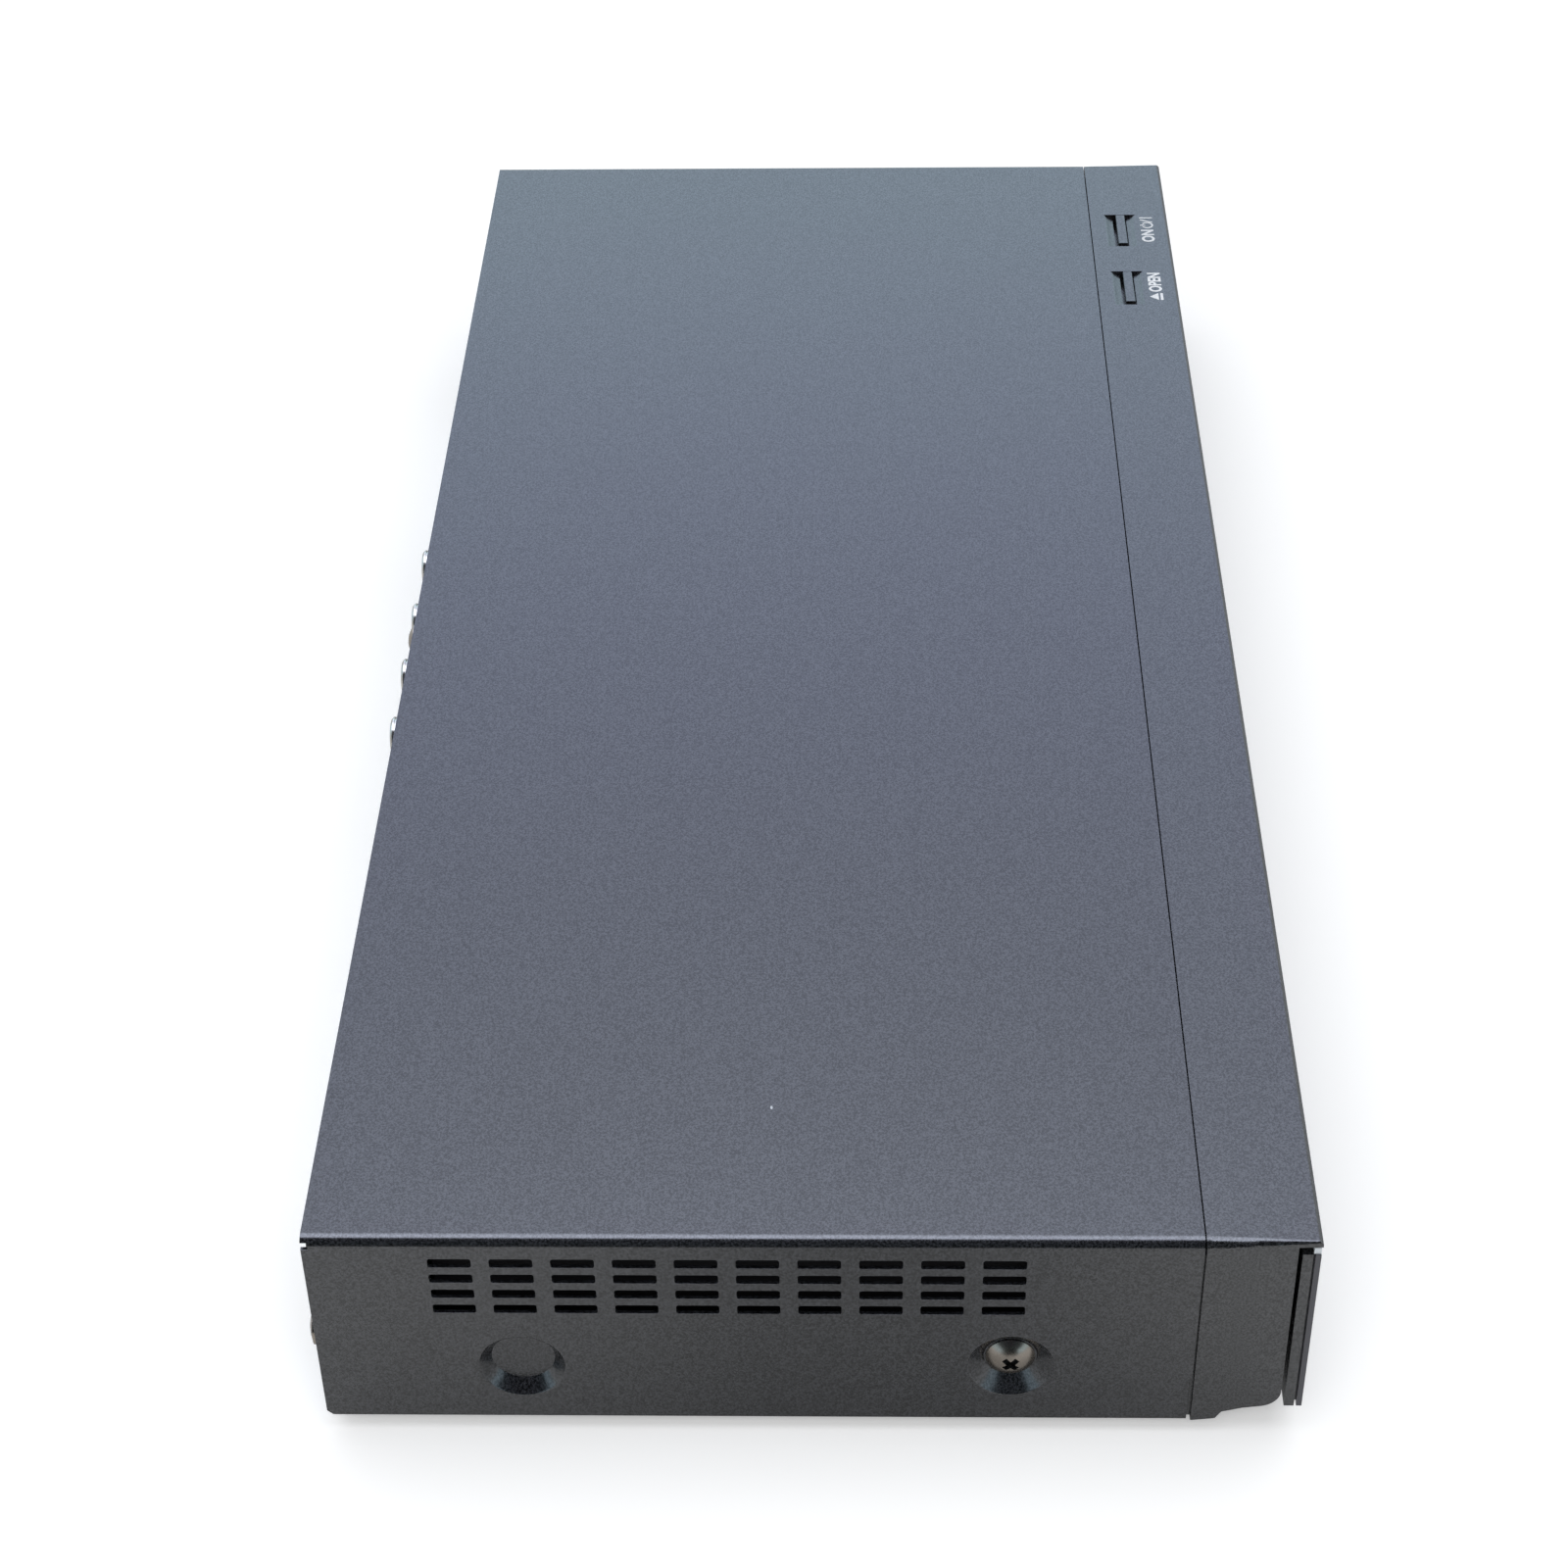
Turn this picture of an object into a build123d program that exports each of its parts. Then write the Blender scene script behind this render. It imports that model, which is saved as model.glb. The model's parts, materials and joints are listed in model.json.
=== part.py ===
from build123d import *
import os
from math import asin, atan, ceil, cos, degrees, floor, pi, radians, sin, sqrt, tan

# Disc recorder with a steel case, a moulded front and a sliding disc tray, in millimetres.
# The front faces -Y, +X is to the right of someone who faces it, and +Z is up.
# The origin is under the middle of the whole recorder, on the surface that it stands on.

# Casing sizes
cover_width = 430.0
cover_height = 51.5
cover_depth = 173.5
sheet = 0.8
cover_bend = 2.3
foot_height = 4.0
seam = 0.3
bezel_depth = 22.2
tip_reach = 6.2

# Clearances
seat_gap = 0.1
bolt_gap = 0.1
running_gap = 0.05
slide_gap = 0.3

# Vent slots in each side of the cover, measured from its back edge and its bottom edge
vent_columns = 10
vent_rows = 4
vent_pitch = 11.9
vent_row_pitch = 4.35
vent_length = 8.35
vent_height = 2.3
vent_first = 28.4
vent_top_row = 45.25
vent_corner = 0.5

# Pressed dimples in each side of the cover
dimple_depth = 2.7
dimple_rim = 8.75
dimple_floor = 6.3
dimple_round = 0.8
screw_dimple_floor = 5.3
rear_dimple_back = 40.5
rear_dimple_height = 15.2
screw_dimple_back = 137.4
screw_dimple_height = 15.9

# Cover's folded back edge
lip_drop = 3.0
tab_drop = 10.5
tab_width = 22.0
side_tab_in = 9.5
side_tab_low = 17.0
side_tab_high = 36.0
notch_drop = 1.8
notch_height = 1.5
notch_depth = 1.4
edge_step = 0.5
edge_step_height = 12.0
corner_cut = 1.3
hem_round = 0.3

# Screws
screw_shank = 1.5
side_head = 4.9
side_head_height = 2.55
side_head_rim = 0.12
head_rim = 0.4
rear_head = 4.0
rear_head_height = 2.5
board_head = 2.8
board_head_height = 1.6
low_head_height = 1.5
rear_screw_height = 22.5
rear_screw_in = 4.4
top_screw_drop = 7.5
top_screw_middle = -12.0

# Base pan and feet
base_lift = 0.4
base_wall = 12.0
base_tab = 28.0
foot_radius = 13.0
foot_in = 42.0
front_foot_back = 150.0
rear_foot_back = 28.0
pad_radius = 8.0
pad_depth = 1.2
pad_stand = 0.5
slot_width = 3.0
slot_length = 34.0
slot_pitch = 9.0

# Bezel
bezel_body = 17.6
bezel_wall = 2.0
bezel_top_edge = 0.6
bezel_lip = 1.5
bezel_chamfer = 0.8
end_draw = 0.6
front_end_round = 0.55
bezel_round = 4.2
toe_drop = 0.5
toe_length = 5.0
sole_height = 4.1
flange_reach = 5.0
flange_thick = 1.5

# Key scoops on the top of the bezel
key_from_end = 30.95
key_pitch = 32.35
scoop_length = 18.2
scoop_width = 9.0
scoop_depth = 1.25
scoop_back = 8.5
scoop_wall = 1.5
key_width = 2.65
key_near_gap = 1.95
key_back_gap = 0.85
key_front_gap = 0.4
key_end_gap = 0.1
key_flange = 1.2
key_flange_thick = 1.2
key_sink = 0.05
key_travel = 0.6
key_stem = 1.75
plunger_radius = 1.7
plunger_show = 0.9
switch_size = 6.2
switch_height = 3.5
key_board_drop = 12.5
board_thick = 1.6

# Front panel: an inner backing and an outer window
panel_gap = 0.75
backing_thick = 2.0
bond_gap = 0.15
window_thick = 1.4
window_rebate = 0.3
rebate_length = 1.5
panel_low = 4.3
panel_high = 48.6
window_high = 48.4
strip_height = 1.4
lid_gap = 0.5
flap_gap = 0.5
peg_radius = 1.5
peg_drop = 7.5
peg_rise = 7.0
peg_from_end = 22.0
flap_width = 112.0
flap_from_end = 11.0
flap_height = 22.7
flap_pin = 0.7
flap_pin_length = 3.0
flap_pin_rise = 1.1
display_width = 84.0
display_height = 15.0
display_low = 18.0

# Disc drive
drive_width = 148.0
drive_from_side = 11.0
drive_wall = 2.5
drive_floor = 2.0
drive_lift = 2.8
drive_height = 35.0
drive_back = 166.6
drive_lid = 1.0
disc_radius = 60.0
disc_back = 64.9
tray_from_rail = 5.5
tray_height = 6.5
tray_low = 25.5
tray_floor = 2.0
tray_recess = 2.0
tray_tongue = 4.4
tongue_thick = 2.0
tray_travel = 133.0
tray_back = 162.9
slot_half = 23.0
rail_thick = 2.0
lid_overhang = 0.5
lid_height = 20.0
lid_low = 18.0

# Tray drive train
rack_module = 1.0
pinion_teeth = 16
train_module = 0.8
wheel_teeth = 30
small_teeth = 12
backlash = 0.16
rack_from_middle = 52.0
rack_width = 5.0
rack_thick = 3.8
train_back = 22.9
axle_radius = 1.95
pulley_radius = 10.0
motor_pulley_radius = 3.0
belt_size = 1.2
belt_distance = 30.0
motor_radius = 10.0
motor_height = 9.0

# Traverse, with the turntable and the pickup
pivot_from_disc = 78.0
lift_drop = 5.0
traverse_half = 38.0
traverse_thick = 2.0
traverse_low = 13.5
traverse_front = 24.0
pivot_pin = 2.0
lift_pin = 1.25
lift_pin_rise = 3.5
lift_pin_out = 20.0
slider_travel = 15.0
slider_thick = 2.0
rod_radius = 1.5
rod_from_middle = 27.0
rod_rise = 8.0
sled_inner = 24.0
sled_travel = 35.0
sled_half = 13.0
screw_from_middle = 34.5
screw_rise = 4.5
lead = 3.0
turntable_radius = 15.0
hub_radius = 7.3
disc_rise = 2.5
disc_thick = 1.2
clamper_radius = 15.0
clamper_neck = 10.0
clamper_top = 14.0

# Hard disk
disk_length = 147.0
disk_width = 101.6
disk_height = 26.1
disk_lift = 5.0

# Boards
board_rise = 4.8
post_radius = 3.0
main_front = 42.0
arm_depth = 18.0
power_width = 61.0
power_from_wall = 4.0
power_length = 158.0

# Back connectors, from the disc drive's right side unless said otherwise
aerial_first = 28.0
aerial_pitch = 23.5
aerial_height = 27.0
aerial_radius = 4.75
aerial_bore = 2.4
can_depth = 17.0
can_height = 26.4
fan_size = 40.0
fan_depth = 10.0
fan_hub = 10.5
fan_blades = 7
jack_radius = 4.15
jack_pitch = 13.0
jack_reach = 5.2
sink_width = 34.0
sink_depth = 30.0
sink_height = 16.0
sink_plate = 3.0
sink_from_back = 36.0
fin_thick = 1.6


# Places that follow from the sizes
half_width = cover_width / 2
overall_depth = cover_depth + seam + bezel_depth + tip_reach
y_back = overall_depth / 2 - tip_reach
y_seam = y_back - cover_depth
y_bezel = y_seam - seam
y_front = y_bezel - bezel_depth
y_body = y_bezel - bezel_body
z_edge = foot_height
z_top = z_edge + cover_height
z_under = z_top - sheet
z_base = z_edge + base_lift
z_floor = z_base + sheet
x_inside = half_width - sheet
x_wall = half_width - dimple_depth - sheet - seat_gap
panel_outer = y_back - sheet - seat_gap
panel_inner = panel_outer - sheet


def block(x, y, z):
    """Return the box that spans the pairs x, y and z."""
    middle = [(pair[0] + pair[1]) / 2 for pair in (x, y, z)]
    return Pos(*middle) * Box(x[1] - x[0], y[1] - y[0], z[1] - z[0])


def around(middle, size):
    """Return the pair of values that lies evenly about a middle."""
    return (middle - size / 2, middle + size / 2)


def rod_x(radius, x, y, z):
    """Return a round bar along X over the pair x."""
    return Pos(sum(x) / 2, y, z) * Rot(0, 90, 0) * Cylinder(radius, abs(x[1] - x[0]))


def rod_y(radius, x, y, z):
    """Return a round bar along Y over the pair y."""
    return Pos(x, sum(y) / 2, z) * Rot(90, 0, 0) * Cylinder(radius, abs(y[1] - y[0]))


def rod_z(radius, x, y, z):
    """Return a round bar along Z over the pair z."""
    return Pos(x, y, sum(z) / 2) * Cylinder(radius, abs(z[1] - z[0]))


def cone_x(radii, x, y, z):
    """Return a cone along X that goes from radii[0] at x[0] to radii[1] at x[1]."""
    turn = 90 if x[1] > x[0] else -90
    return Pos(sum(x) / 2, y, z) * Rot(0, turn, 0) * Cone(radii[0], radii[1], abs(x[1] - x[0]))


def prism_x(outline, x):
    """Return an outline of (y, z) points carried along the pair x."""
    face = Plane.YZ * make_face(Polyline(*outline, close=True))
    return Pos(x[0], 0, 0) * extrude(face, x[1] - x[0], dir=(1, 0, 0))


def prism_y(outline, y):
    """Return an outline of (x, z) points carried along the pair y."""
    face = Plane.XZ * make_face(Polyline(*outline, close=True))
    return Pos(0, y[1], 0) * extrude(face, y[1] - y[0], dir=(0, -1, 0))


def prism_z(outline, z):
    """Return an outline of (x, y) points carried along the pair z."""
    face = make_face(Polyline(*outline, close=True))
    return Pos(0, 0, z[0]) * extrude(face, z[1] - z[0], dir=(0, 0, 1))


def edges_at(shape, axis, **place):
    """Return the edges along an axis whose middles lie at the given x, y or z."""
    found = []
    for edge in shape.edges().filter_by(axis):
        middle = edge.center()
        at = {"x": middle.X, "y": middle.Y, "z": middle.Z}
        if all(abs(at[name] - value) < 0.01 for name, value in place.items()):
            found.append(edge)
    return found


def group(solids):
    """Return separate solids as one compound."""
    return Compound(children=[solid for part in solids for solid in part.solids()])


# Casing
def cover_sheet():
    """Return the plain bent sheet: a top and two sides."""
    span = (y_seam, y_back)
    outer = block((-half_width, half_width), span, (z_edge, z_top))
    upper = edges_at(outer, Axis.Y, z=z_top)
    outer = fillet(upper, cover_bend)
    past = (y_seam - 1, y_back + 1)
    outer = fillet(edges_at(outer, Axis.Y, z=z_edge), hem_round)
    inner = block((-x_inside, x_inside), past, (z_edge - 1, z_under))
    inner = fillet(edges_at(inner, Axis.Y, z=z_under), cover_bend - sheet)
    return outer - inner


def back_tabs():
    """Return the folded back edge: a lip along the top and tabs for the screws."""
    span = (y_back - sheet, y_back)
    reach = half_width - cover_bend - sheet
    tabs = [block((-reach, reach), span, (z_under - lip_drop, z_under + sheet / 2))]
    tabs.append(block(around(top_screw_middle, tab_width), span, (z_under - tab_drop, z_under)))
    for side in (-1, 1):
        ends = sorted((side * (half_width - sheet / 2), side * (half_width - side_tab_in)))
        tabs.append(block(ends, span, (z_edge + side_tab_low, z_edge + side_tab_high)))
    return tabs


def dimple_places():
    """Return the place of each dimple as side, y, z and whether it takes a screw."""
    places = []
    for side in (-1, 1):
        places.append((side, y_back - rear_dimple_back, z_edge + rear_dimple_height, False))
        places.append((side, y_back - screw_dimple_back, z_edge + screw_dimple_height, True))
    return places


def vent_cutter():
    """Return the vent slots of both sides as bars that cross the whole case."""
    middle_y = y_back - vent_first - vent_pitch * (vent_columns - 1) / 2
    middle_z = z_edge + vent_top_row - vent_row_pitch * (vent_rows - 1) / 2
    grid = GridLocations(vent_pitch, vent_row_pitch, vent_columns, vent_rows)
    slots = Sketch() + grid * RectangleRounded(vent_length, vent_height, vent_corner)
    slots = Plane.YZ * Pos(middle_y, middle_z) * slots
    return extrude(slots, half_width + 1, dir=(1, 0, 0), both=True)


def top_cover():
    """Return the bent steel cover with its dimples, vents and back tabs."""
    cover = cover_sheet() + back_tabs()
    for side, y, z, takes_screw in dimple_places():
        face, bottom = side * half_width, side * (half_width - dimple_depth)
        floor = screw_dimple_floor if takes_screw else dimple_floor
        cup = cone_x((dimple_rim + sheet / 2, floor + sheet / 2),
                     (side * (half_width - sheet / 2), bottom - side * sheet), y, z)
        hollow = cone_x((dimple_rim, floor), (face, bottom), y, z)
        cover = cover + cup - hollow
        if takes_screw:
            cover -= rod_x(screw_shank + bolt_gap, sorted((face, side * (x_wall - 1))), y, z)
    rims = [edge for edge in cover.edges().filter_by(GeomType.CIRCLE)
            if abs(edge.radius - dimple_rim) < 0.01 and abs(abs(edge.arc_center.X) - half_width) < 0.01]
    cover = fillet(rims, dimple_round)
    cuts = [vent_cutter()]
    step = (y_seam - 1, y_seam + edge_step)
    cuts.append(block((-half_width - 1, half_width + 1), step, (z_edge - 1, z_edge + edge_step_height)))
    for side in (-1, 1):
        corner = sorted((side * (half_width + 1), side * (half_width - cover_bend - 2 * sheet)))
        notch = (z_top - notch_drop - notch_height / 2, z_top - notch_drop + notch_height / 2)
        cuts.append(block(corner, (y_back - notch_depth, y_back + 1), notch))
        cuts.append(prism_x([(y_back + 1, z_edge - 1), (y_back - corner_cut - 1, z_edge - 1),
                             (y_back + 1, z_edge + corner_cut + 1)],
                            sorted((side * x_inside - side, side * (half_width + 1)))))
    for x, z in back_screw_places:
        cuts.append(rod_y(screw_shank + bolt_gap, x, (panel_inner - 1, y_back + 1), z))
    return cover - cuts


def chassis_base():
    """Return the steel pan that everything stands on."""
    back = panel_inner - seat_gap
    pan = block((-x_wall, x_wall), (y_bezel + slide_gap, panel_outer), (z_base, z_floor))
    pan += block((-x_wall, x_wall), (back - sheet, back), (z_base, z_floor + board_rise / 2))
    for side, y, z, takes_screw in dimple_places():
        wall = sorted((side * x_wall, side * (x_wall - sheet)))
        pan += block(wall, (y_bezel + slide_gap, back), (z_base, z_floor + base_wall))
        tab = block(wall, around(y, base_tab), (z_floor, z + dimple_floor + 2))
        pan += fillet(edges_at(tab, Axis.X, z=z + dimple_floor + 2), 4)
    for side, y, z, takes_screw in dimple_places():
        if takes_screw:
            pan -= rod_x(screw_shank, sorted((side * (x_wall + 1), side * (x_wall - 2))), y, z)
    slots = []
    for row in range(4):
        row_y = disk_y + (row - 1.5) * slot_pitch
        through = (z_base - 1, z_floor + 1)
        slots.append(block(around(disk_x, slot_length), around(row_y, slot_width), through))
        slots.append(block(around(power_x, slot_length),
                           around((row - 1.5) * slot_pitch, slot_width), (z_base - 1, z_floor + 1)))
    for x, y in foot_places:
        slots.append(rod_z(screw_shank + bolt_gap, x, y, (z_base - 1, z_floor + 1)))
    for x in lug_places:
        slots.append(rod_z(screw_shank, x, y_bezel + lug_length / 2, (z_base - 1, z_floor + 1)))
    return pan - slots


def foot(x, y):
    """Return one moulded foot, drawn in towards the floor and hollow for its pad."""
    body = Pos(x, y, (z_base + pad_stand) / 2) * Cone(foot_radius - 1.5, foot_radius, z_base - pad_stand)
    body -= rod_z(pad_radius + seat_gap, x, y, (pad_stand - 1, pad_depth))
    return body - rod_z(screw_shank, x, y, (pad_depth - 1, z_base + 1))


def foot_pad(x, y):
    """Return the rubber pad that stands out of a foot."""
    pad = rod_z(pad_radius, x, y, (0, pad_depth))
    return fillet(pad.edges().group_by(Axis.Z)[0], 0.4)


def cross_recess(width, depth):
    """Return a cross that cuts a screw's drive, on its side at the origin, going down."""
    bar = Box(width, width / 3, depth)
    return Pos(0, 0, -depth / 2) * (bar + Rot(0, 0, 90) * bar)


def screw(head, head_height, shank_length, rim=head_rim, turn=45.0):
    """Return a dome-headed screw along Z with its head's underside at the origin."""
    rise = head_height * (1 - rim)
    dome = (head * head + rise * rise) / (2 * rise)
    body = Pos(0, 0, head_height / 2) * Cylinder(head, head_height)
    body &= Pos(0, 0, head_height - dome) * Sphere(dome)
    body -= Pos(0, 0, head_height) * Rot(0, 0, turn) * cross_recess(head * 0.75, head_height * 0.65)
    return body + Pos(0, 0, -shank_length / 2) * Cylinder(screw_shank, shank_length)


# Screw places that follow from the casing
power_x = x_wall - power_from_wall - power_width / 2
power_left = power_x - power_width / 2
top_screw_place = (top_screw_middle, z_top - top_screw_drop)
low_screw_places = [(end * (half_width - rear_screw_in), z_edge + rear_screw_height) for end in (-1, 1)]
back_screw_places = [top_screw_place] + low_screw_places
foot_places = [(side * (half_width - foot_in), y_back - back)
               for side in (-1, 1) for back in (front_foot_back, rear_foot_back)]
lug_length = 8.0
lug_width = 14.0
lug_thick = 1.2
lug_places = [-half_width * 0.72, top_screw_middle, half_width * 0.72]

# Places inside the case
drive_left = -half_width + drive_from_side
drive_right = drive_left + drive_width
drive_x = drive_left + drive_width / 2
tray_width = drive_width - 2 * (drive_wall + tray_from_rail)
lid_width = drive_width + 2 * lid_overhang
drive_front = y_front + 15.1
drive_rear = y_front + drive_back + 6.5
drive_z = z_floor + drive_lift
drive_top = drive_z + drive_height
tray_z = z_edge + tray_low
tray_top = tray_z + tray_height
tray_rear = y_front + tray_back + 6.2
disc_y = y_front + disc_back + 6.2
bay_middle = (drive_right + power_left) / 2
disk_x = bay_middle
board_front = panel_inner - main_front - 10.4
disk_y = board_front - disk_width / 2 - 2
board_low = z_floor + board_rise
board_top = board_low + board_thick


# Front
def bezel_shell():
    """Return the moulded body of the bezel, hollow and open at the back."""
    low, high = z_edge - toe_drop, z_top - bezel_top_edge
    sole = z_edge + sole_height
    outline = [(y_bezel, low), (y_bezel - toe_length, low + 0.5), (y_bezel - toe_length - 1.1, z_edge + 2.1),
               (y_bezel - toe_length - 5.2, z_edge + 3.2), (y_body, sole), (y_body, high), (y_bezel, high)]
    body = prism_x(outline, (-half_width, half_width))
    body = fillet(edges_at(body, Axis.X, y=y_body, z=sole), bezel_round)
    wall = bezel_wall
    hollow = [(y_bezel + 1, low + wall), (y_bezel - toe_length + 0.6, low + wall),
              (y_bezel - toe_length - 0.5, z_edge + 2.1 + wall),
              (y_bezel - toe_length - 5.0, z_edge + 3.2 + wall),
              (y_body + wall, sole + wall), (y_body + wall, z_top - wall), (y_bezel + 1, z_top - wall)]
    return body - prism_x(hollow, (-half_width + wall, half_width - wall))


def bezel_top():
    """Return the top edge with its front lip."""
    front_edge = [(y_bezel, z_top), (y_front + bezel_chamfer, z_top), (y_front, z_top - bezel_chamfer),
                  (y_front, z_top - bezel_lip), (y_body + bezel_wall, z_top - bezel_lip),
                  (y_body + bezel_wall, z_top - bezel_top_edge), (y_bezel, z_top - bezel_top_edge)]
    return prism_x(front_edge, (-half_width, half_width))


def end_draws():
    """Return the thin wedges that draw the bezel's ends in towards the front."""
    wedges = []
    for side in (-1, 1):
        outline = [(side * half_width, y_bezel), (side * (half_width + 2), y_bezel),
                   (side * (half_width + 2), y_front), (side * (half_width - end_draw), y_front)]
        wedges.append(prism_z(outline, (z_edge - 3, z_top + 1)))
    return wedges


def rounding_face(x, y, radius, side):
    """Return the face outside a rounded top corner at one depth, with some spare outside."""
    spare = 1.0
    inner = x - side * radius
    slant = radius * sin(radians(45))
    edges = [Line((inner, y, z_top), (inner, y, z_top + spare)),
             Line((inner, y, z_top + spare), (x + side * spare, y, z_top + spare)),
             Line((x + side * spare, y, z_top + spare), (x + side * spare, y, z_top - radius)),
             Line((x + side * spare, y, z_top - radius), (x, y, z_top - radius)),
             ThreePointArc((x, y, z_top - radius), (inner + side * slant, y, z_top - radius + slant),
                           (inner, y, z_top))]
    return Face(Wire(edges))


def end_roundings():
    """Return the cutters that round the top's ends: the cover's bend, running out towards the front."""
    cutters = []
    for side in (-1, 1):
        rear = rounding_face(side * half_width, y_bezel, cover_bend, side)
        fore = rounding_face(side * (half_width - end_draw), y_front, front_end_round, side)
        cutters.append(Solid.make_loft([rear.outer_wire(), fore.outer_wire()], True))
    return cutters


def end_flanges():
    """Return the flanges that reach in behind the cover's front edge."""
    flanges = []
    for side in (-1, 1):
        span = sorted((side * (x_inside - slide_gap), side * (x_inside - slide_gap - flange_thick)))
        flanges.append(block(span, (y_bezel - bezel_wall, y_bezel + flange_reach),
                             (z_edge, z_top - cover_bend - bezel_wall)))
    return flanges


key_y = y_bezel - scoop_back
key_rib_y = (key_y - scoop_width / 2 + 2.95 + key_y - scoop_width / 2 + 2.95 + key_width) / 2
scoop_bottom = z_top - scoop_depth
key_slab = scoop_bottom - scoop_wall
key_spans = []
for number in (0, 1):
    key_far = half_width - key_from_end - number * key_pitch
    key_spans.append((key_far - scoop_length, key_far))
key_board_top = z_top - key_board_drop
key_post_places = [key_spans[1][0] - 7, key_spans[0][1] + 7]


def scoop(span):
    """Return the hollow round a key: a shallow channel and the slot through its floor."""
    radius = ((scoop_width / 2) ** 2 + scoop_depth ** 2) / (2 * scoop_depth)
    channel = rod_x(radius, span, key_y, scoop_bottom + radius)
    slot_y = (key_rib_y - key_width / 2 - key_front_gap, key_rib_y + key_width / 2 + key_back_gap)
    return channel + block(span, slot_y, (key_slab - 1, z_top + 1))


def front_bezel():
    """Return the moulded bezel with its openings, key scoops, posts and lugs."""
    bezel = bezel_shell() + bezel_top() + end_flanges()
    for span in key_spans:
        bezel += block((span[0] - 2, span[1] + 2), around(key_y, scoop_width + 4), (key_slab, z_top - 1))
    for x in key_post_places:
        bezel += rod_z(post_radius, x, key_y, (key_board_top, z_top - 1))
    for x in lug_places:
        lug = block(around(x, lug_width), (y_bezel - toe_length + 1, y_bezel + lug_length),
                    (z_floor, z_floor + lug_thick))
        bezel += lug - rod_z(screw_shank + bolt_gap, x, y_bezel + lug_length / 2, (z_floor - 1, z_floor + 4))
    cuts = end_draws() + end_roundings() + [scoop(span) for span in key_spans]
    wall = (y_body - 1, y_body + bezel_wall + 0.5)
    cuts.append(block(around(drive_x, tray_width + 2 * tray_tongue + 3), wall,
                      (tray_z - rack_thick - 1, tray_top + 1.2)))
    cuts.append(block(around(display_x, display_width), wall, display_z))
    cuts.append(block((flap_span[0] + 7, flap_span[1] - 7), wall, (flap_low + 4.5, flap_high - 3)))
    for x, z in peg_places:
        cuts.append(rod_y(peg_radius + bolt_gap, x, (y_body - 1, y_body + bezel_wall + 1), z))
    for x in key_post_places:
        cuts.append(rod_z(screw_shank, x, key_y, (key_board_top - 1, key_board_top + 6)))
    return bezel - cuts


backing_rear = y_body - panel_gap
backing_front = backing_rear - backing_thick
window_rear = backing_front - bond_gap
window_front = window_rear - window_thick
panel_bottom = z_edge + panel_low
panel_top = z_edge + panel_high
window_top = z_edge + window_high
lid_span = around(drive_x, lid_width)
lid_z = (z_edge + lid_low, z_edge + lid_low + lid_height)
flap_span = (half_width - flap_from_end - flap_width, half_width - flap_from_end)
display_x = (lid_span[1] + flap_span[0]) / 2
flap_low = panel_bottom
flap_high = panel_bottom + flap_height
flap_axis = (backing_rear - backing_thick / 2, panel_bottom + flap_pin_rise)
display_z = (z_edge + display_low, z_edge + display_low + display_height)
peg_columns = [peg_from_end - half_width, display_x, half_width - peg_from_end]
peg_places = [(x, z_top - peg_drop) for x in peg_columns]
peg_places += [(x, panel_bottom + peg_rise) for x in peg_columns[:2]]


def panel_openings(y):
    """Return the cutters for the tray lid and the flap door through one panel layer."""
    lid = block((lid_span[0] - lid_gap, lid_span[1] + lid_gap), y, (lid_z[0] - lid_gap, lid_z[1] + lid_gap))
    door = block((flap_span[0] - flap_gap, flap_span[1] + flap_gap), y,
                 (panel_bottom - 1, flap_high + flap_gap))
    return [lid, door]


def front_backing():
    """Return the inner layer of the front panel, with its seats and pegs."""
    panel = block((-half_width, half_width), (backing_front, backing_rear), (panel_bottom, panel_top))
    for x, z in peg_places:
        panel += rod_y(post_radius, x, (backing_rear - 0.5, y_body), z)
        panel += rod_y(peg_radius, x, (backing_rear - 0.5, y_body + bezel_wall), z)
    cut = (backing_front - 1, backing_rear + 1)
    panel -= panel_openings(cut)
    panel -= block(around(display_x, display_width), cut, display_z)
    for edge, way in ((flap_span[0] - flap_gap, -1), (flap_span[1] + flap_gap, 1)):
        hole = sorted((edge - way, edge + way * (flap_pin_length - flap_gap + slide_gap)))
        panel -= rod_x(flap_pin + running_gap, hole, *flap_axis)
    return panel


def front_window():
    """Return the smoked outer layer of the front panel."""
    panel = block((-half_width, half_width), (window_front, window_rear), (panel_bottom, window_top))
    rebate = (window_rear - window_rebate, window_rear + 1)
    for side in (-1, 1):
        ends = sorted((side * (half_width + 1), side * (half_width - rebate_length)))
        panel -= block(ends, rebate, (panel_bottom - 1, window_top + 1))
    return panel - panel_openings((window_front - 1, window_rear + 1))


def flap_door():
    """Return the door's inner layer with the two pins that it swings on."""
    door = block(flap_span, (backing_front, backing_rear), (flap_low, flap_high))
    for edge, way in ((flap_span[0], -1), (flap_span[1], 1)):
        door += rod_x(flap_pin, sorted((edge - way, edge + way * flap_pin_length)), *flap_axis)
    return door


def key(span):
    """Return one key: the rib in its scoop, the flange below and its stem."""
    rib_x = (span[0] + key_near_gap, span[1] - key_end_gap)
    rib_y = around(key_rib_y, key_width)
    flange_top = key_slab - slide_gap
    flange_low = flange_top - key_flange_thick
    rib = block(rib_x, rib_y, (flange_low, z_top - key_sink))
    rib = fillet(edges_at(rib, Axis.X, z=z_top - key_sink), 0.3)
    flange = block((rib_x[0] - key_flange, rib_x[1] + key_flange), around(key_rib_y, key_width + 3.0),
                   (flange_low, flange_top))
    stem = rod_z(key_stem, sum(span) / 2, key_rib_y, (plunger_top, flange_low + 0.1))
    return rib + flange + stem


switch_top = key_board_top + switch_height
plunger_top = switch_top + plunger_show


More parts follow.
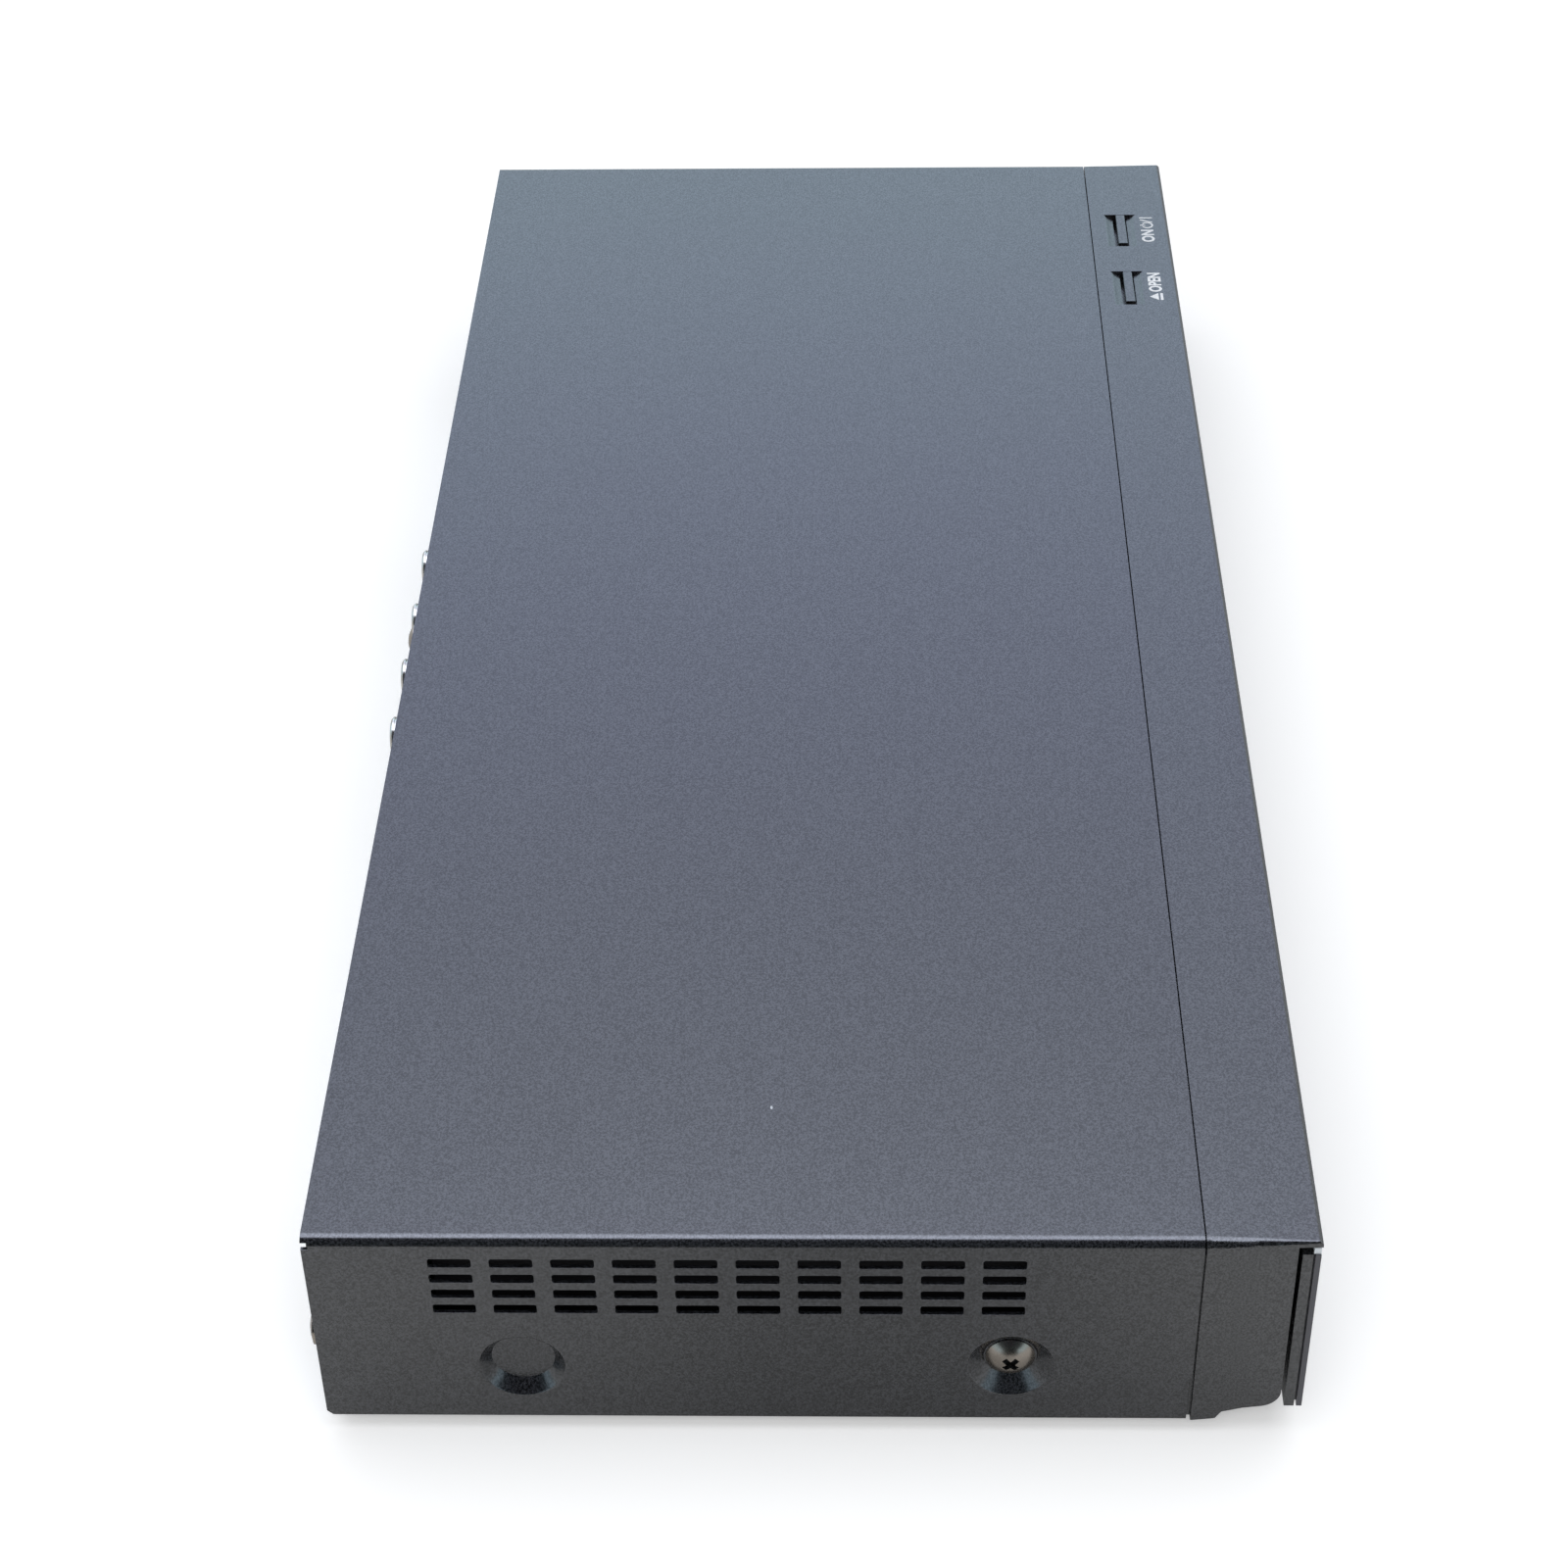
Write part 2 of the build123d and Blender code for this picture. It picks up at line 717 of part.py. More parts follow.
def switch(span):
    """Return one switch housing with its well."""
    x = sum(span) / 2
    body = block(around(x, switch_size), around(key_rib_y, switch_size), (key_board_top, switch_top))
    body = fillet(edges_at(body, Axis.Z), 0.4)
    return body - rod_z(plunger_radius + running_gap, x, key_rib_y, (switch_top - 2.4, switch_top + 1))


def plunger(span):
    """Return the switch's plunger, with its foot in the well."""
    return rod_z(plunger_radius, sum(span) / 2, key_rib_y, (switch_top - 1.5, plunger_top))


def key_board():
    """Return the small board that carries the two switches."""
    ends = (key_post_places[0] - 5, key_post_places[1] + 5)
    board = block(ends, around(key_y, 9.5), (key_board_top - board_thick, key_board_top))
    return board - [rod_z(screw_shank + bolt_gap, x, key_y, (key_board_top - 3, key_board_top + 1))
                    for x in key_post_places]


# Gears
def gear_outline(module, teeth, turn=0.0, pressure=20.0):
    """Return the points of an involute gear whose first tooth points along X plus the turn."""
    pitch = module * teeth / 2
    base = pitch * cos(radians(pressure))
    tip, root = pitch + 0.85 * module, pitch - 1.2 * module
    half_tooth = pi / (2 * teeth) - backlash / (2 * pitch)
    at_pitch = tan(radians(pressure)) - radians(pressure)
    flank = []
    for step in range(5):
        radius = max(base, root) + (tip - max(base, root)) * step / 4
        roll = sqrt(max(radius * radius / (base * base) - 1, 0))
        flank.append((radius, half_tooth + at_pitch - (roll - atan(roll))))
    if root < base:
        flank.insert(0, (root, flank[0][1]))
    points = []
    for tooth in range(teeth):
        middle = 2 * pi * tooth / teeth + radians(turn)
        for radius, away in flank:
            points.append((radius * cos(middle - away), radius * sin(middle - away)))
        for radius, away in reversed(flank):
            points.append((radius * cos(middle + away), radius * sin(middle + away)))
    return points


def gear(module, teeth, x, y, z, turn=0.0):
    """Return an involute gear with an upright axis over the pair z."""
    return Pos(x, y, 0) * prism_z(gear_outline(module, teeth, turn), z)


def rack_outline():
    """Return the outline of the tray's rack, whose teeth point to -X."""
    pitch = pi * rack_module
    tip, root = rack_x - 0.85 * rack_module, rack_x + 1.2 * rack_module
    half_tooth = pitch / 4 - backlash / 2
    slope = tan(radians(20))
    low, high = rack_front, tray_rear - 1
    points = [(rack_x + rack_width, high), (rack_x + rack_width, low)]
    first = ceil((low + 2 - train_y) / pitch - 0.5)
    last = floor((high - 2 - train_y) / pitch - 0.5)
    points.append((root, low))
    for number in range(first, last + 1):
        middle = train_y + (number + 0.5) * pitch
        at_root = half_tooth + (root - rack_x) * slope
        at_tip = half_tooth - (rack_x - tip) * slope
        points += [(root, middle - at_root), (tip, middle - at_tip),
                   (tip, middle + at_tip), (root, middle + at_root)]
    points.append((root, high))
    return points


# Disc drive
rack_x = drive_x + rack_from_middle
rack_front = drive_front - 2
train_y = y_front + train_back + 6.2
pinion_radius = rack_module * pinion_teeth / 2
wheel_radius = train_module * wheel_teeth / 2
small_radius = train_module * small_teeth / 2
gear_x = rack_x - pinion_radius
pulley_x = gear_x - wheel_radius - small_radius
motor_x = pulley_x - belt_distance
wheel_z = (drive_z + 12.0, drive_z + 15.0)
pinion_z = (tray_z - rack_thick + 0.1, tray_z - 0.3)
pulley_z = (drive_z + 5.5, drive_z + 9.5)
drive_ground = drive_z + drive_floor
shelf_z = (drive_z + 10.0, drive_z + 11.4)
motor_z = (shelf_z[1], shelf_z[1] + motor_height)
rail_inside = drive_width / 2 - drive_wall
tongue_reach = tray_width / 2 + tray_tongue
tongue_z = (tray_z, tray_z + tongue_thick)

pivot_y = disc_y + pivot_from_disc
plate_z = (z_edge + traverse_low, z_edge + traverse_low + traverse_thick)
pivot_z = sum(plate_z) / 2
plate_front = disc_y - traverse_front
plate_rear = pivot_y + 8.0
lift_angle = degrees(asin(lift_drop / pivot_from_disc))
slider_y = (plate_front - 6.4, plate_front - 6.4 + slider_thick)
lift_arm = pivot_y - sum(slider_y) / 2
pin_x = drive_x - lift_pin_out
pin_z = pivot_z + lift_pin_rise
pin_fall = lift_arm * sin(radians(lift_angle))
rod_z_axis = plate_z[0] + rod_rise
screw_x = drive_x + screw_from_middle
screw_z = plate_z[0] + screw_rise
sled_y = disc_y + sled_inner + 6.0
rod_span = (sled_y - sled_half - 4.0, sled_y + sled_half + sled_travel + 5.0)
disc_z = tray_top - tray_recess + disc_rise
table_z = (disc_z - 2.5, disc_z)


def drive_chassis():
    """Return the drive's moulded tub with its rails, posts and bosses."""
    left, right = drive_x - drive_width / 2, drive_x + drive_width / 2
    tub = block((left, right), (drive_front + 2.2, drive_rear), (drive_z, drive_ground))
    for side in (-1, 1):
        wall = sorted((drive_x + side * rail_inside, drive_x + side * drive_width / 2))
        ledge = sorted((drive_x + side * (tray_width / 2 + 1.5), drive_x + side * (rail_inside + 0.5)))
        tub += block(wall, (drive_front, drive_rear), (drive_ground, drive_top))
        for low in (tongue_z[0] - seat_gap - rail_thick, tongue_z[1] + seat_gap):
            tub += block(ledge, (drive_front + 4, tray_rear), (low, low + rail_thick))
        boss = block(around(drive_x + side * (traverse_half + 5.5), 5.0), around(pivot_y, 9.0),
                     (drive_z, pivot_z + 4.5))
        tub += boss - rod_x(pivot_pin + running_gap, (drive_x - 60, drive_x + 60), pivot_y, pivot_z)
    tub += block((left, right), (drive_rear - 2, drive_rear), (drive_z, tray_z))
    for x, y in drive_feet:
        tub += rod_z(5.0, x, y, (z_floor, drive_z + 1))
    tub += [rod_z(4.0, gear_x, train_y, (drive_z, wheel_z[0] - seat_gap)),
            rod_z(axle_radius, gear_x, train_y, (drive_z, tray_z - 1.0)),
            rod_z(4.0, pulley_x, train_y, (drive_z, pulley_z[0] - seat_gap)),
            rod_z(axle_radius, pulley_x, train_y, (drive_z, wheel_z[1] + 1))]
    shelf = block(around(motor_x, 2 * motor_radius + 4), around(train_y, 2 * motor_radius + 2.4), shelf_z)
    tub += shelf - rod_z(4.0, motor_x, train_y, (shelf_z[0] - 1, shelf_z[1] + 1))
    for way in (-1, 1):
        leg_y = around(train_y + way * (motor_radius + 0.45), 1.5)
        tub += block(around(motor_x, 2 * motor_radius + 4), leg_y, (drive_z, shelf_z[1]))
    guides = ((slider_y[0] - 1.9, slider_y[0] - slide_gap), (slider_y[1] + slide_gap, slider_y[1] + 1.9))
    for low, high in guides:
        for x in (pin_x - 30, pin_x + 12):
            tub += block(around(x, 5.0), (low, high), (drive_z, drive_ground + 5))
    return tub


drive_feet = [(drive_x + side * (drive_width / 2 - 7), y)
              for side in (-1, 1) for y in (y_seam + 12, drive_rear - 9)]


def drive_cover():
    """Return the drive's steel lid, with the opening that the clamper hangs in."""
    lid = block(around(drive_x, drive_width), (drive_front, drive_rear), (drive_top, drive_top + drive_lid))
    ridge_top = drive_top + drive_lid + 0.8
    lid += block(around(drive_x, drive_width - 30), around(disc_y, 9), (drive_top, ridge_top))
    lid = lid - rod_z(clamper_neck + 1.0, drive_x, disc_y, (drive_top - 1, drive_top + 3))
    for side in (-1, 1):
        slot_x = drive_x + side * drive_width / 4
        lid -= block(around(slot_x, 40), around(disc_y + 66, 6), (drive_top - 1, drive_top + 3))
    return lid


def disc_tray():
    """Return the tray: its disc recess, the slot for the pickup, its runners and rack."""
    front = backing_rear
    tray = block(around(drive_x, tray_width), (front, tray_rear), (tray_z, tray_top))
    tray = fillet(edges_at(tray, Axis.Z, y=tray_rear), 3.0)
    tray += block(around(drive_x, 2 * tongue_reach), (drive_front + 6, tray_rear - 4), tongue_z)
    recess = tray_top - tray_recess
    tray -= rod_z(disc_radius + 0.7, drive_x, disc_y, (recess, tray_top + 1))
    tray -= rod_z(disc_radius * 0.68, drive_x, disc_y, (recess - 0.4, tray_top + 1))
    shell = recess - 0.4 - tray_floor
    for side in (-1, 1):
        pocket = sorted((drive_x + side * (slot_half + 2.5), drive_x + side * (tray_width / 2 - 3)))
        tray -= block(pocket, (front + 6, tray_rear - 5), (tray_z - 1, shell))
    rack = prism_z(rack_outline(), (tray_z - rack_thick, shell + 0.5))
    tray += rack
    slot = rod_z(slot_half, drive_x, disc_y, (tray_z - 1, tray_top + 1))
    slot += block(around(drive_x, 2 * slot_half), (disc_y, tray_rear + 1), (tray_z - 1, tray_top + 1))
    return tray - slot


def tray_gear():
    """Return the wheel that the train drives, with the pinion that moves the rack."""
    body = gear(train_module, wheel_teeth, gear_x, train_y, wheel_z)
    body += rod_z(5.0, gear_x, train_y, (wheel_z[0], pinion_z[1]))
    body += gear(rack_module, pinion_teeth, gear_x, train_y, pinion_z)
    return body - rod_z(axle_radius + running_gap, gear_x, train_y, (wheel_z[0] - 1, pinion_z[1] + 1))


def grooved_pulley(radius, x, y, z):
    """Return a pulley with a square groove that a belt of the given pitch radius sits in."""
    body = rod_z(radius + belt_size / 2 + 0.6, x, y, z)
    middle = sum(z) / 2
    ring = rod_z(radius + 3, x, y, around(middle, belt_size + 0.6))
    ring -= rod_z(radius - belt_size / 2 - running_gap, x, y, around(middle, belt_size + 0.6))
    return body - ring


def pulley_gear():
    """Return the belt pulley with the small gear over it."""
    body = grooved_pulley(pulley_radius, pulley_x, train_y, pulley_z)
    body += rod_z(3.6, pulley_x, train_y, (pulley_z[0], wheel_z[1]))
    body += gear(train_module, small_teeth, pulley_x, train_y, wheel_z, 180 / small_teeth)
    return body - rod_z(axle_radius + running_gap, pulley_x, train_y, (pulley_z[0] - 1, wheel_z[1] + 1))


def loading_belt():
    """Return the belt: a flat loop round both pulleys."""
    loops = []
    for offset in (belt_size / 2, -belt_size / 2):
        ends = [Pos(pulley_x, train_y) * Circle(pulley_radius + offset),
                Pos(motor_x, train_y) * Circle(motor_pulley_radius + offset)]
        loops.append(make_hull([edge for end in ends for edge in end.edges()]))
    height = around(sum(pulley_z) / 2, belt_size)
    return Pos(0, 0, height[0]) * extrude(loops[0] - loops[1], belt_size, dir=(0, 0, 1))


def motor_pulley():
    """Return the motor's pulley with the shaft that it is pressed on."""
    body = grooved_pulley(motor_pulley_radius, motor_x, train_y, pulley_z)
    return body + rod_z(1.0, motor_x, train_y, (pulley_z[0], motor_z[0] + 4))


def loading_motor():
    """Return the motor's round can, with its terminals."""
    can = rod_z(motor_radius, motor_x, train_y, motor_z)
    can = fillet(can.edges().group_by(Axis.Z)[-1], 1.0)
    can += rod_z(3.0, motor_x, train_y, (motor_z[0] - 1.0, motor_z[0]))
    return can - rod_z(1.0 + running_gap, motor_x, train_y, (motor_z[0] - 2, motor_z[0] + 5))


def traverse_frame():
    """Return the plate that carries the turntable and the pickup, on its two pivot pins."""
    plate = block(around(drive_x, 2 * traverse_half), (plate_front, plate_rear), plate_z)
    plate -= block(around(drive_x, 38), (sled_y - 10, sled_y + 44), (plate_z[0] - 1, plate_z[1] + 1))
    for side in (-1, 1):
        x = drive_x + side * rod_from_middle
        for y in (rod_span[0] + 1.5, rod_span[1] - 1.5):
            lug = block(around(x, 7), around(y, 3), (plate_z[0], rod_z_axis + 3))
            plate += lug - rod_y(rod_radius, x, (y - 3, y + 3), rod_z_axis)
        pin = sorted((drive_x + side * (traverse_half - 1), drive_x + side * (traverse_half + 7.5)))
        plate += rod_x(pivot_pin, pin, pivot_y, pivot_z)
        ear_x = drive_x + side * (traverse_half - 1)
        plate += block(around(ear_x, 2.0), around(pivot_y, 8), (plate_z[0], pivot_z + 3))
    for y in (rod_span[0] + 1.5, screw_motor_y[0] - 1.5):
        bearing = block(around(screw_x, 6), around(y, 3), (plate_z[0], screw_z + 4))
        plate += bearing - rod_y(rod_radius + running_gap, screw_x, (y - 3, y + 3), screw_z)
    plate -= block(around(screw_x, 12), (screw_motor_y[0], plate_rear + 1), (plate_z[0] - 1, plate_z[1] + 1))
    lug = block(around(pin_x, 8), (plate_front, plate_front + 3), (plate_z[0], pin_z + 3))
    plate += lug + rod_y(lift_pin, pin_x, (slider_y[0] - 0.6, plate_front + 1), pin_z)
    return plate


screw_motor_y = (pivot_y + 5.0, pivot_y + 15.0)


def lift_slider():
    """Return the sliding cam plate with the slanted slot that carries the traverse's pin."""
    plate = block((pin_x - 34, pin_x + 16), slider_y, (drive_ground + seat_gap, pin_z + 4.5))
    clear = lift_pin + 0.2
    start, end = (pin_x, pin_z), (pin_x - slider_travel, pin_z - pin_fall)
    run = sqrt(slider_travel ** 2 + pin_fall ** 2)
    along = (slider_travel / run, pin_fall / run)
    across = (-along[1] * clear, along[0] * clear)
    outline = [(start[0] + across[0], start[1] + across[1]), (end[0] + across[0], end[1] + across[1]),
               (end[0] - across[0], end[1] - across[1]), (start[0] - across[0], start[1] - across[1])]
    past = (slider_y[0] - 1, slider_y[1] + 1)
    slot = prism_y(outline, past)
    slot += rod_y(clear, start[0], past, start[1])
    slot += rod_y(clear, end[0], past, end[1])
    return plate - slot


def pickup_sled():
    """Return the sled with its rod bores, its tower for the lens and its screw follower."""
    low = plate_z[1] + 2.0
    sled_width = 2 * rod_from_middle + 8
    sled = block(around(drive_x, sled_width), around(sled_y, 2 * sled_half), (low, rod_z_axis + 2.8))
    sled = fillet(edges_at(sled, Axis.Z), 3.0)
    tower = block(around(drive_x, 34), around(sled_y - 2, 20), (rod_z_axis, disc_z - 3.2))
    sled += fillet(edges_at(tower, Axis.Z), 4.0)
    arm = (drive_x + rod_from_middle + 2, screw_x + 3)
    sled += block(arm, around(sled_y, 8), (screw_z - 1.0, rod_z_axis))
    cuts = [rod_y(rod_radius + running_gap, drive_x + side * rod_from_middle,
                  (sled_y - 20, sled_y + 20), rod_z_axis) for side in (-1, 1)]
    cuts.append(rod_y(rod_radius + 0.1, screw_x, (sled_y - 20, sled_y + 20), screw_z))
    return sled - cuts


def pickup_lens():
    """Return the domed lens on top of the sled's tower."""
    ring = rod_z(2.4, drive_x, sled_y - 6, (disc_z - 3.2, disc_z - 2.2))
    return fillet(ring.edges().group_by(Axis.Z)[-1], 0.6)


def lead_screw():
    """Return the sled's screw as a plain bar with its journals."""
    return rod_y(rod_radius, screw_x, (rod_span[0] + 0.2, screw_motor_y[0] + 4), screw_z)


def sled_motor():
    """Return the small motor at the end of the lead screw."""
    can = rod_y(5.0, screw_x, screw_motor_y, screw_z)
    well = (screw_motor_y[0] - 1, screw_motor_y[0] + 5)
    return can - rod_y(rod_radius + running_gap, screw_x, well, screw_z)


def spindle_motor():
    """Return the turntable's motor on its round pedestal."""
    body = rod_z(12.5, drive_x, disc_y, (plate_z[1], plate_z[1] + 11.0))
    body = fillet(body.edges().group_by(Axis.Z)[-1], 1.0)
    return body - rod_z(1.25 + running_gap, drive_x, disc_y, (plate_z[1] + 1, plate_z[1] + 12))


def turntable():
    """Return the turntable with its centring hub and its shaft."""
    body = rod_z(turntable_radius, drive_x, disc_y, table_z)
    body += rod_z(9.0, drive_x, disc_y, (plate_z[1] + 11.4, table_z[0]))
    hub = Pos(drive_x, disc_y, disc_z + 1.05) * Cone(hub_radius, hub_radius - 1.2, 2.1)
    return body + hub + rod_z(1.25, drive_x, disc_y, (plate_z[1] + 2, table_z[0]))


def disc_clamper():
    """Return the clamper that hangs in the lid and closes over the turntable's hub."""
    low = disc_z + disc_thick + slide_gap
    body = rod_z(clamper_radius, drive_x, disc_y, (low, low + 3.0))
    body += rod_z(clamper_neck, drive_x, disc_y, (low, drive_top + drive_lid + 2.6))
    body += rod_z(clamper_top, drive_x, disc_y, (drive_top + drive_lid + 1.2, drive_top + drive_lid + 2.8))
    return body - rod_z(hub_radius + 0.9, drive_x, disc_y, (low - 1, low + 1.6))


# Storage and boards
def hard_disk():
    """Return the hard disk: its casting, its raised lid and its connector."""
    low = z_floor + disk_lift
    body = block(around(disk_x, disk_length), around(disk_y, disk_width), (low, low + disk_height - 1.0))
    body = fillet(edges_at(body, Axis.Z), 3.0)
    lid = block(around(disk_x + 4, disk_length - 14), around(disk_y, disk_width - 6),
                (low + disk_height - 1.0, low + disk_height))
    body += fillet(edges_at(lid, Axis.Z), 8.0)
    end = disk_x - disk_length / 2
    body -= block((end - 1, end + 6), around(disk_y - 20, 36), (low + 1.5, low + 6.5))
    return body


def disk_bracket():
    """Return the steel bracket under the hard disk, with ears that are screwed to its sides."""
    low = z_floor + disk_lift
    plate_width = disk_width + 2 * sheet
    plate = block(around(disk_x, disk_length - 20), around(disk_y, plate_width), (low - sheet, low))
    plate -= block(around(disk_x, disk_length - 70), around(disk_y, disk_width - 40), (low - 2, low + 1))
    for way in (-1, 1):
        ear_y = sorted((disk_y + way * disk_width / 2, disk_y + way * (disk_width / 2 + sheet)))
        plate += block(around(disk_x, disk_length - 20), ear_y, (low - sheet, low + 12))
        for x in (disk_x - disk_length / 2 + 22, disk_x + disk_length / 2 - 22):
            leg_y = sorted((disk_y + way * disk_width / 2, disk_y + way * (disk_width / 2 - 12)))
            plate += block(around(x, 12), leg_y, (z_floor, low))
    return plate


def main_board():
    """Return the main board with the arm that runs behind the disc drive."""
    rear = panel_inner - 1.5
    board = block((drive_right + 6, power_left - 8), (board_front, rear), (board_low, board_top))
    board += block((drive_left + 6, drive_right + 7), (rear - arm_depth, rear), (board_low, board_top))
    holes = [rod_z(screw_shank + bolt_gap, x, y, (board_low - 1, board_top + 1)) for x, y in main_posts]
    return board - holes


main_rear = panel_inner - 1.5
main_posts = [(drive_left + 10, main_rear - 13), (drive_right - 3, main_rear - 13),
              (drive_right + 12, main_rear - 46), (power_left - 14, main_rear - 46),
              (power_left - 14, main_rear - 5)]
power_posts = [(power_x + sx * (power_width / 2 - 5), power_y)
               for sx in (-1, 1) for power_y in (-63.0, 12.0, 70.0)]


def board_posts():
    """Return the posts that both boards stand on."""
    posts = []
    for x, y in main_posts + power_posts:
        thread = rod_z(screw_shank, x, y, (z_floor + 1, board_low + 1))
        posts.append(rod_z(post_radius, x, y, (z_floor, board_low)) - thread)
    return group(posts)


def board_screws():
    """Return the screws of both boards, of the key board and of the bezel's lugs."""
    plain = screw(board_head, board_head_height, 4.5)
    screws = [Pos(x, y, board_top) * plain for x, y in main_posts + power_posts]
    up = Pos(0, 0, 0) * Rot(180, 0, 0) * plain
    screws += [Pos(x, key_y, key_board_top - board_thick) * up for x in key_post_places]
    lug = screw(board_head, lug_thick, lug_thick + sheet)
    screws += [Pos(x, y_bezel + lug_length / 2, z_floor + lug_thick) * lug for x in lug_places]
    return group(screws)


def chips():
    """Return the packages on the main board."""
    row_y = main_rear - 32
    middle = (drive_right + power_left) / 2
    packages = [(middle - 40, row_y, 20, 14, 1.2), (middle - 18, row_y, 14, 11, 1.2),
                (middle + 2, row_y, 14, 11, 1.2), (middle - 62, row_y + 2, 12, 18, 1.0),
                (middle + 76, row_y - 4, 12, 12, 1.4)]
    solids = [block(around(x, w), around(y, d), (board_top, board_top + h)) for x, y, w, d, h in packages]
    solids.append(block(around(sink_x, 31), around(sink_y, 31), (board_top, board_top + 2.4)))
    for number in range(4):
        solids.append(rod_z(4.0, middle - 30 + 11 * number, row_y - 13, (board_top, board_top + 11)))
    return group(solids)


sink_x = (drive_right + power_left) / 2 + 42
sink_y = panel_inner - sink_from_back


def heat_sink():
    """Return the finned sink on the main processor."""
    low = board_top + 2.4
    sink = block(around(sink_x, sink_width), around(sink_y, sink_depth), (low, low + sink_plate))
    for number in range(8):
        x = sink_x - (sink_width - fin_thick) / 2 + number * (sink_width - fin_thick) / 7
        sink += block(around(x, fin_thick), around(sink_y, sink_depth), (low, low + sink_height))
    return sink


def power_board():
    """Return the power supply's board."""
    middle = panel_inner - 3 - power_length / 2
    board = block(around(power_x, power_width), around(middle, power_length), (board_low, board_top))
    through = (board_low - 1, board_top + 1)
    return board - [rod_z(screw_shank + bolt_gap, x, y, through) for x, y in power_posts]


def power_parts():
    """Return what stands on the power board: transformer, capacitors, choke and sinks."""
    z = board_top
    core = block(around(power_x + 8, 32), around(-12, 26), (z, z + 22))
    core = fillet(edges_at(core, Axis.Z), 2.0)
    solids = [core]
    solids.append(block(around(power_x + 8, 20), around(-12, 30), (z, z + 17)))
    tall = rod_z(11.0, power_x - 14, 38, (z, z + 30))
    solids.append(fillet(tall.edges().group_by(Axis.Z)[-1], 1.2))
    for number in range(5):
        solids.append(rod_z(4.0, power_x - 20 + 10 * number, -52, (z, z + 16)))
    solids.append(block(around(power_x - 16, 2), around(-12, 40), (z, z + 26)))
    solids.append(block(around(power_x + 20, 2), around(36, 30), (z, z + 26)))
    solids.append(block(around(power_x + 4, 14), around(52, 10), (z, z + 12)))
    solids.append(block(around(power_x - 12, 18), around(60, 16), (z, z + 15)))
    return group(solids)


def can_spans():
    """Return the two tuner cans as pairs of x that meet between their connectors."""
    first = aerial_places[0] - aerial_pitch / 2 + 0.2
    second = first + 2 * aerial_pitch
    return [(first, second - 0.5), (second, second + 2 * aerial_pitch - 0.5)]


aerial_places = [drive_right + aerial_first + aerial_pitch * number for number in range(4)]
aerial_z = z_edge + aerial_height


def tuner_cans():
    """Return the two screened tuner cans."""
    cans = []
    for span in can_spans():
        can = block(span, (panel_inner - can_depth, panel_inner), (board_top, board_top + can_height))
        can = fillet(edges_at(can, Axis.Z, y=panel_inner - can_depth), 1.0)
        can_top = board_top + can_height
        ridge_y = (panel_inner - can_depth + 3, panel_inner - 4)
        ridge = block((span[0] + 4, span[1] - 4), ridge_y, (can_top, can_top + 0.5))
        cans.append(can + ridge)
    return group(cans)


def aerial_connector(x):
    """Return one threaded connector with its nut and its centre hole."""
    tip = y_back + tip_reach
    body = rod_y(aerial_radius, x, (panel_inner, tip), aerial_z)
    body = chamfer(body.edges().group_by(Axis.Y)[-1], 0.5)
    grooves = []
    for number in range(6):
        y = tip - 1.1 - number * 0.8
        ring = rod_y(aerial_radius + 1, x, around(y, 0.4), aerial_z)
        grooves.append(ring - rod_y(aerial_radius - 0.3, x, around(y, 0.4), aerial_z))
    nut = Plane.XZ * Pos(x, aerial_z) * RegularPolygon(6.2, 6, major_radius=False)
    nut = extrude(nut, 2.0, dir=(0, 1, 0))
    body = body - grooves
    bore = rod_y(aerial_radius - 0.5, x, (panel_outer - 1, panel_outer + 4), aerial_z)
    body += Pos(0, panel_outer, 0) * nut - bore
    body -= rod_y(aerial_radius - 1.0, x, (tip - 0.6, tip + 1), aerial_z)
    return body - rod_y(aerial_bore / 2, x, (tip - 8.0, tip + 1), aerial_z)


fan_x = aerial_places[-1] + aerial_pitch / 2 + 5.0 + fan_size / 2
fan_z = board_top + 0.8 + fan_size / 2
fan_y = (panel_inner - fan_depth, panel_inner)


def fan_frame():
    """Return the fan's square frame with its motor mount on three arms."""
    frame = block(around(fan_x, fan_size), fan_y, around(fan_z, fan_size))
    frame = fillet(edges_at(frame, Axis.Y), 3.0)
    frame -= rod_y(fan_size / 2 - 1.0, fan_x, (fan_y[0] - 1, fan_y[1] + 1), fan_z)
    hub_y = (fan_y[0], fan_y[0] + 2.0)
    frame += rod_y(fan_hub, fan_x, hub_y, fan_z)
    for number in range(3):
        arm = Pos(fan_x, sum(hub_y) / 2, fan_z) * Rot(0, 120 * number + 30, 0) * Pos(fan_size / 4 + 3, 0, 0)
        frame += arm * Box(fan_size / 2 - 8, 2.0, 2.4)
    frame -= rod_y(1.0 + running_gap, fan_x, (fan_y[0] + 0.4, fan_y[0] + 3), fan_z)
    for sx in (-1, 1):
        for sz in (-1, 1):
            frame -= rod_y(screw_shank, fan_x + sx * 16, (fan_y[0] - 1, fan_y[1] + 1), fan_z + sz * 16)
    return frame


def fan_rotor():
    """Return the fan's hub with its blades and shaft."""
    hub = rod_y(fan_hub, fan_x, (fan_y[0] + 2.4, fan_y[1] - 0.8), fan_z)
    hub = fillet(hub.edges().group_by(Axis.Y)[-1], 1.0)
    reach = fan_size / 2 - 1.6
    for number in range(fan_blades):
        blade = Box(reach - fan_hub + 2, 0.9, 6.6)
        turn = Rot(0, 360 / fan_blades * number, 0)
        middle = Pos((reach + fan_hub) / 2 - 1, 0, 0)
        hub += Pos(fan_x, sum(fan_y) / 2 + 0.8, fan_z) * turn * middle * Rot(38, 0, 0) * blade
    keep = rod_y(reach, fan_x, (fan_y[0] + 2.4, fan_y[1] - 0.4), fan_z)
    hub = hub & keep
    return hub + rod_y(1.0, fan_x, (fan_y[0] + 0.8, fan_y[0] + 3), fan_z)


